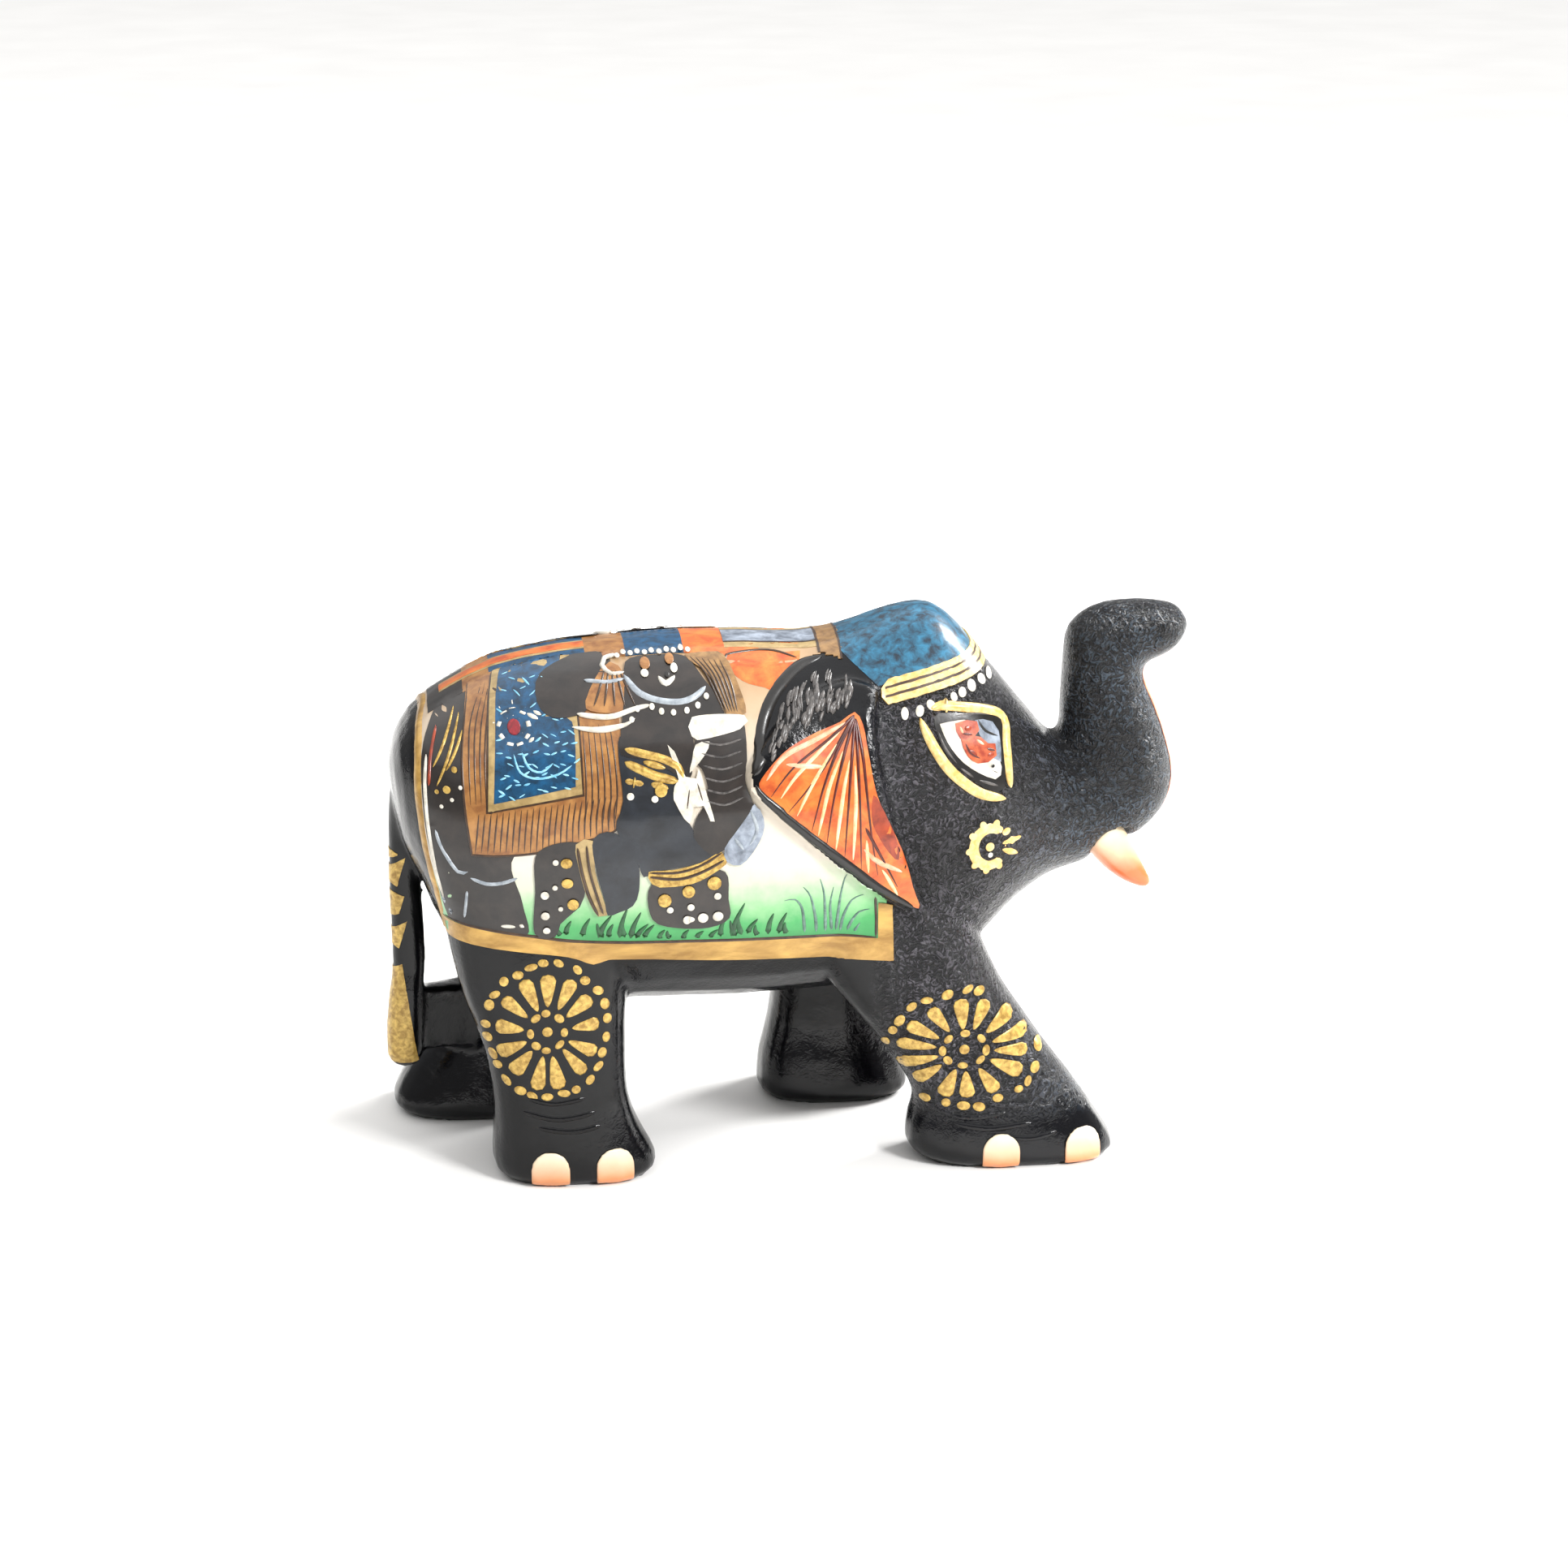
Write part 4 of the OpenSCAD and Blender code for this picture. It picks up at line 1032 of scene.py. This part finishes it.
def rosettePaint(plan, hand):
    # fat teardrops round a small eye, inside a ring of dabs; each a little off, as a hand leaves them
    x, z = plan["centre"]
    wide, tall = plan["size"]
    petals, drops = [], []
    for i in range(plan["petals"]):
        a = plan["tilt"] + math.tau * i / plan["petals"] + hand.uniform(-0.05, 0.05)
        r = hand.uniform(7.1, 7.5)
        out = (wide * math.cos(a), tall * math.sin(a))
        petals.append((x + r * out[0], z + r * out[1], hand.uniform(3.5, 4.4),
                       hand.uniform(5.8, 6.9) * math.hypot(*out),
                       math.atan2(out[1], out[0]) - math.pi / 2))
    for i in range(26):
        a = math.tau * (i + 0.5) / 26 + hand.uniform(-0.05, 0.05)
        r = hand.uniform(11.4, 12.2)
        drops.append((x + r * wide * math.cos(a), z + r * tall * math.sin(a), hand.uniform(1.5, 2.1),
                      hand.uniform(1.9, 2.9), a + hand.uniform(-0.5, 0.5)))
    for i in range(8):
        a = math.tau * i / 8 + hand.uniform(-0.1, 0.1)
        drops.append((x + 3.3 * wide * math.cos(a), z + 3.3 * tall * math.sin(a), hand.uniform(1.4, 1.8),
                      hand.uniform(1.9, 2.5), a))
    drops.append((x, z, 2.2))
    return petals, drops


for spot, plan in rosette.items():
    end, side = ("front" if "front" in spot else "rear"), (right if "Right" in spot else left)
    petals, drops = rosettePaint(plan, random.Random(spot))
    made = layPaint(end + "Rosette", side, [("gold", "petals", petals), ("gold", "beads", drops)], base=0.08,
                    rise=0.01)
    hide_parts(f"rosette_{end}_{nodeSides[side]}")

# gold on the tail, an orange stripe down the front of the trunk, and the carved creases of the ankles

tail = {"tuft": (16.8, 36.6), "blots": ((40.8, 44.8, 0.5), (47.2, 52, -0.4), (53.6, 57.6, 0.6),
                                        (59, 60.4, -0.5)),
        "front": -75.1, "middle": -76, "tuftFront": (-73.4, 26)}
low, high = tail["tuft"]
frontX, frontZ = tail["tuftFront"]
tuft = shell("tailGold", [((tail["middle"], 0, high), (0.5, 0, -1)), ((0, 0, low), (0, 0, 1)),
                          ((frontX, 0, frontZ), (-1, 0, -0.12))], "gold", 0.14)
dabs = [shell("tailGold", [((tail["middle"], 0, high), (lean, 0, -1)),
                           ((tail["middle"], 0, low), (lean, 0, 1)),
                           ((tail["front"], 0, low), (-1, 0, 0.3))], "gold", 0.12)
        for low, high, lean in tail["blots"]]
tuft = joinAs("tailGold", [tuft] + dabs)
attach(tuft, "root")
trunk = {"half": 4.3, "taperFoot": 68, "taperTop": 90, "lean": 0.32, "depth": 6, "rear": 60,
         "foot": 58, "top": 99.6}


def trunkFront(z):
    place, _, _, _ = surface.ray_cast(Vector((120, 0, z)) * mm, Vector((-1, 0, 0)))
    return place.x / mm if place is not None else 999


trunkFronts = {z: trunkFront(z / 2) for z in range(2 * trunk["foot"] - 4, int(2 * trunk["top"]) + 4)}
edges = [((0, across * trunk["half"], height), (0, -across, lean)) for across in (1, -1)
         for height, lean in ((0, 0), (trunk["taperFoot"], trunk["lean"]),
                              (trunk["taperTop"], -trunk["lean"]))]
ends = [((trunk["rear"], 0, 0), (1, 0, 0)), ((0, 0, trunk["foot"]), (0, 0, 1)),
        ((0, 0, trunk["top"]), (0, 0, -1))]
lip = shell("trunkLine", ends + edges, "orange", 0.06,
            keep=lambda x, y, z: x > trunkFronts[round(2 * z)] - trunk["depth"])
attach(lip, "root")
for side in (right, left):
    at = 0 if side == right else -24  # the left front foot stands further back
    ankle = strokes("ankleCreases" + sideNames[side], [
        line(1.3, (24.5 + at, 12.8), (32 + at, 10.6), (40 + at, 11.4)),
        line(1.2, (30 + at, 9.4), (37 + at, 8.4), (45 + at, 9.2)),
        line(1.2, (36 + at, 13.4), (41 + at, 12.6), (46 + at, 13)),
        line(1.2, (-53, 15.6), (-46, 14), (-39, 15)), line(1.2, (-50, 12.4), (-44, 11.4), (-38, 12.2)),
        line(1.1, (-52, 18.4), (-47, 17.2), (-41, 18)),
        line(1.1, (40 + at, 6.6), (45 + at, 6.2), (50 + at, 7.2))], side, "lacquer", relief=0.45)
    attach(ankle, "root")

nails = {"voxel": 0.28, "smoothing": 8}
for end in ("front", "rear"):
    for side in (right, left):
        node = f"toenails_{end}_{nodeSides[side]}"
        toes = copyOf(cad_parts[node], end + "Toenails" + sideNames[side])
        takeOnly(toes)
        bpy.ops.object.mode_set(mode="EDIT")
        bpy.ops.mesh.select_all(action="SELECT")
        bpy.ops.mesh.remove_doubles(threshold=0.001 * mm)
        bpy.ops.object.mode_set(mode="OBJECT")
        skin = toes.modifiers.new("skin", "REMESH")
        skin.mode = "VOXEL"
        skin.voxel_size = nails["voxel"] * mm
        soft = toes.modifiers.new("soft", "SMOOTH")
        soft.iterations = nails["smoothing"]
        applyAll(toes)
        bpy.ops.object.shade_smooth()
        toes.data.materials.clear()
        toes.data.materials.append(finishes["nail"])
        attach(toes, "root")
        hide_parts(node)
print("painted the toenails")

tuskShape = {"root": (60.4, 5.6, 61.6), "lean": 47, "splay": 9, "radius": 4.1, "step": 1.95,
             "widths": (1.0, 0.98, 0.93, 0.85, 0.74, 0.6, 0.42, 0.2), "curl": (-4, -2, 0, 1, 2, 3, 4, 4)}


def growTusk(side):
    # a short thick tusk: a ring drawn out step by step, narrowed and turned down towards the tip
    bpy.ops.object.select_all(action="DESELECT")
    place = Vector(tuskShape["root"]) * mm
    place.y *= side
    lean, splay = math.radians(tuskShape["lean"]), side * math.radians(tuskShape["splay"])
    way = Vector((math.cos(lean) * math.cos(splay), math.cos(lean) * math.sin(splay), -math.sin(lean)))
    bpy.ops.mesh.primitive_circle_add(vertices=28, radius=tuskShape["radius"] * mm, fill_type="NGON",
                                      location=place,
                                      rotation=way.to_track_quat("Z", "Y").to_euler())
    tusk = bpy.context.object
    bpy.ops.object.transform_apply(location=True, rotation=True, scale=True)
    bpy.ops.object.mode_set(mode="EDIT")
    bpy.ops.mesh.select_all(action="SELECT")
    before = 1.0
    across = Vector((way.y, -way.x, 0)).normalized()
    for width, bend in zip(tuskShape["widths"], tuskShape["curl"]):
        turn = Matrix.Rotation(math.radians(bend), 3, across)
        way = turn @ way
        move = way * tuskShape["step"] * mm
        bpy.ops.mesh.extrude_region_move(TRANSFORM_OT_translate={"value": tuple(move)})
        place = place + move
        bpy.ops.transform.resize(value=(width / before,) * 3, center_override=tuple(place))
        before = width
    bpy.ops.mesh.select_all(action="SELECT")
    bpy.ops.mesh.normals_make_consistent(inside=False)
    bpy.ops.object.mode_set(mode="OBJECT")
    rounded = tusk.modifiers.new("rounded", "SUBSURF")
    rounded.levels = rounded.render_levels = 2
    applyAll(tusk)
    bpy.ops.object.shade_smooth()
    tusk.name = "tusk" + sideNames[side]
    tusk.data.materials.append(finishes["tusk"])
    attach(tusk, "root")
    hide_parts("tusk_" + nodeSides[side])


for side in (right, left):
    growTusk(side)
print("grew the tusks")


# floor, light and camera

studio = {"floor": "#fbfaf8", "world": 0.34, "sky": 150.0, "key": 11.0, "window": 9.0}

bpy.ops.object.select_all(action="DESELECT")
bpy.ops.mesh.primitive_plane_add(size=16)
floor = bpy.context.object
floor.name = "studioFloor"
floorFinish, tree, place = newFinish("paperFloor")  # matt white paper roll
mottle = addNode(tree, "TexNoise", {"Vector": place, "Scale": perMm(60), "Detail": 2.0})
shade = addNode(tree, "ValToRGB", {"Fac": mottle.outputs["Fac"]})
shade.color_ramp.elements[0].color = paint("#f1f0ee")
shade.color_ramp.elements[1].color = paint(studio["floor"])
finishWith(tree, addNode(tree, "BsdfPrincipled", {"Base Color": shade.outputs[0], "Roughness": 0.9,
                                                  "Specular IOR Level": 0.1}))
floor.data.materials.append(floorFinish)

world = bpy.data.worlds.new("studio")
bpy.context.scene.world = world
world.use_nodes = True
world.node_tree.nodes["Background"].inputs["Color"].default_value = paint("#ffffff")
world.node_tree.nodes["Background"].inputs["Strength"].default_value = studio["world"]


def softbox(name, power, width, height, place, target):
    bpy.ops.object.select_all(action="DESELECT")
    bpy.ops.object.light_add(type="AREA", location=place)
    lamp = bpy.context.object
    lamp.name = name
    lamp.data.shape = "RECTANGLE"
    lamp.data.size = width
    lamp.data.size_y = height
    lamp.data.energy = power
    lamp.rotation_euler = (Vector(target) - Vector(place)).to_track_quat("-Z", "Y").to_euler()
    return lamp


softbox("skyPanel", studio["sky"], 6.5, 6.5, (0, 0.3, 2.4), (0, 0.3, 0))
softbox("keyLight", studio["key"], 0.24, 0.24, (0.6, -0.7, 0.65), (0, 0, 0.05))
softbox("windowLight", studio["window"], 0.2, 0.5, (0.55, 0.25, 0.45), (0.03, 0, 0.07))

view = {"azimuth": -6, "elevation": 19, "distance": 0.722, "target": (0, 0, 0.052), "lens": 85,
        "shift": (-0.0005, 0.058)}
bpy.ops.object.camera_add()
camera = bpy.context.object
camera.name = "studioCamera"
az, el = math.radians(view["azimuth"]), math.radians(view["elevation"])
back = Vector((math.sin(az) * math.cos(el), -math.cos(az) * math.cos(el), math.sin(el)))
camera.location = Vector(view["target"]) + back * view["distance"]
camera.rotation_euler = (-back).to_track_quat("-Z", "Y").to_euler()
camera.data.lens = view["lens"]
camera.data.sensor_width = 36
camera.data.shift_x, camera.data.shift_y = view["shift"]
bpy.context.scene.camera = camera
bpy.context.scene.view_settings.view_transform = "Standard"

for drop in (roundDrop, petalDrop):
    bpy.data.objects.remove(drop)
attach(body, "root")
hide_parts("carved_body")
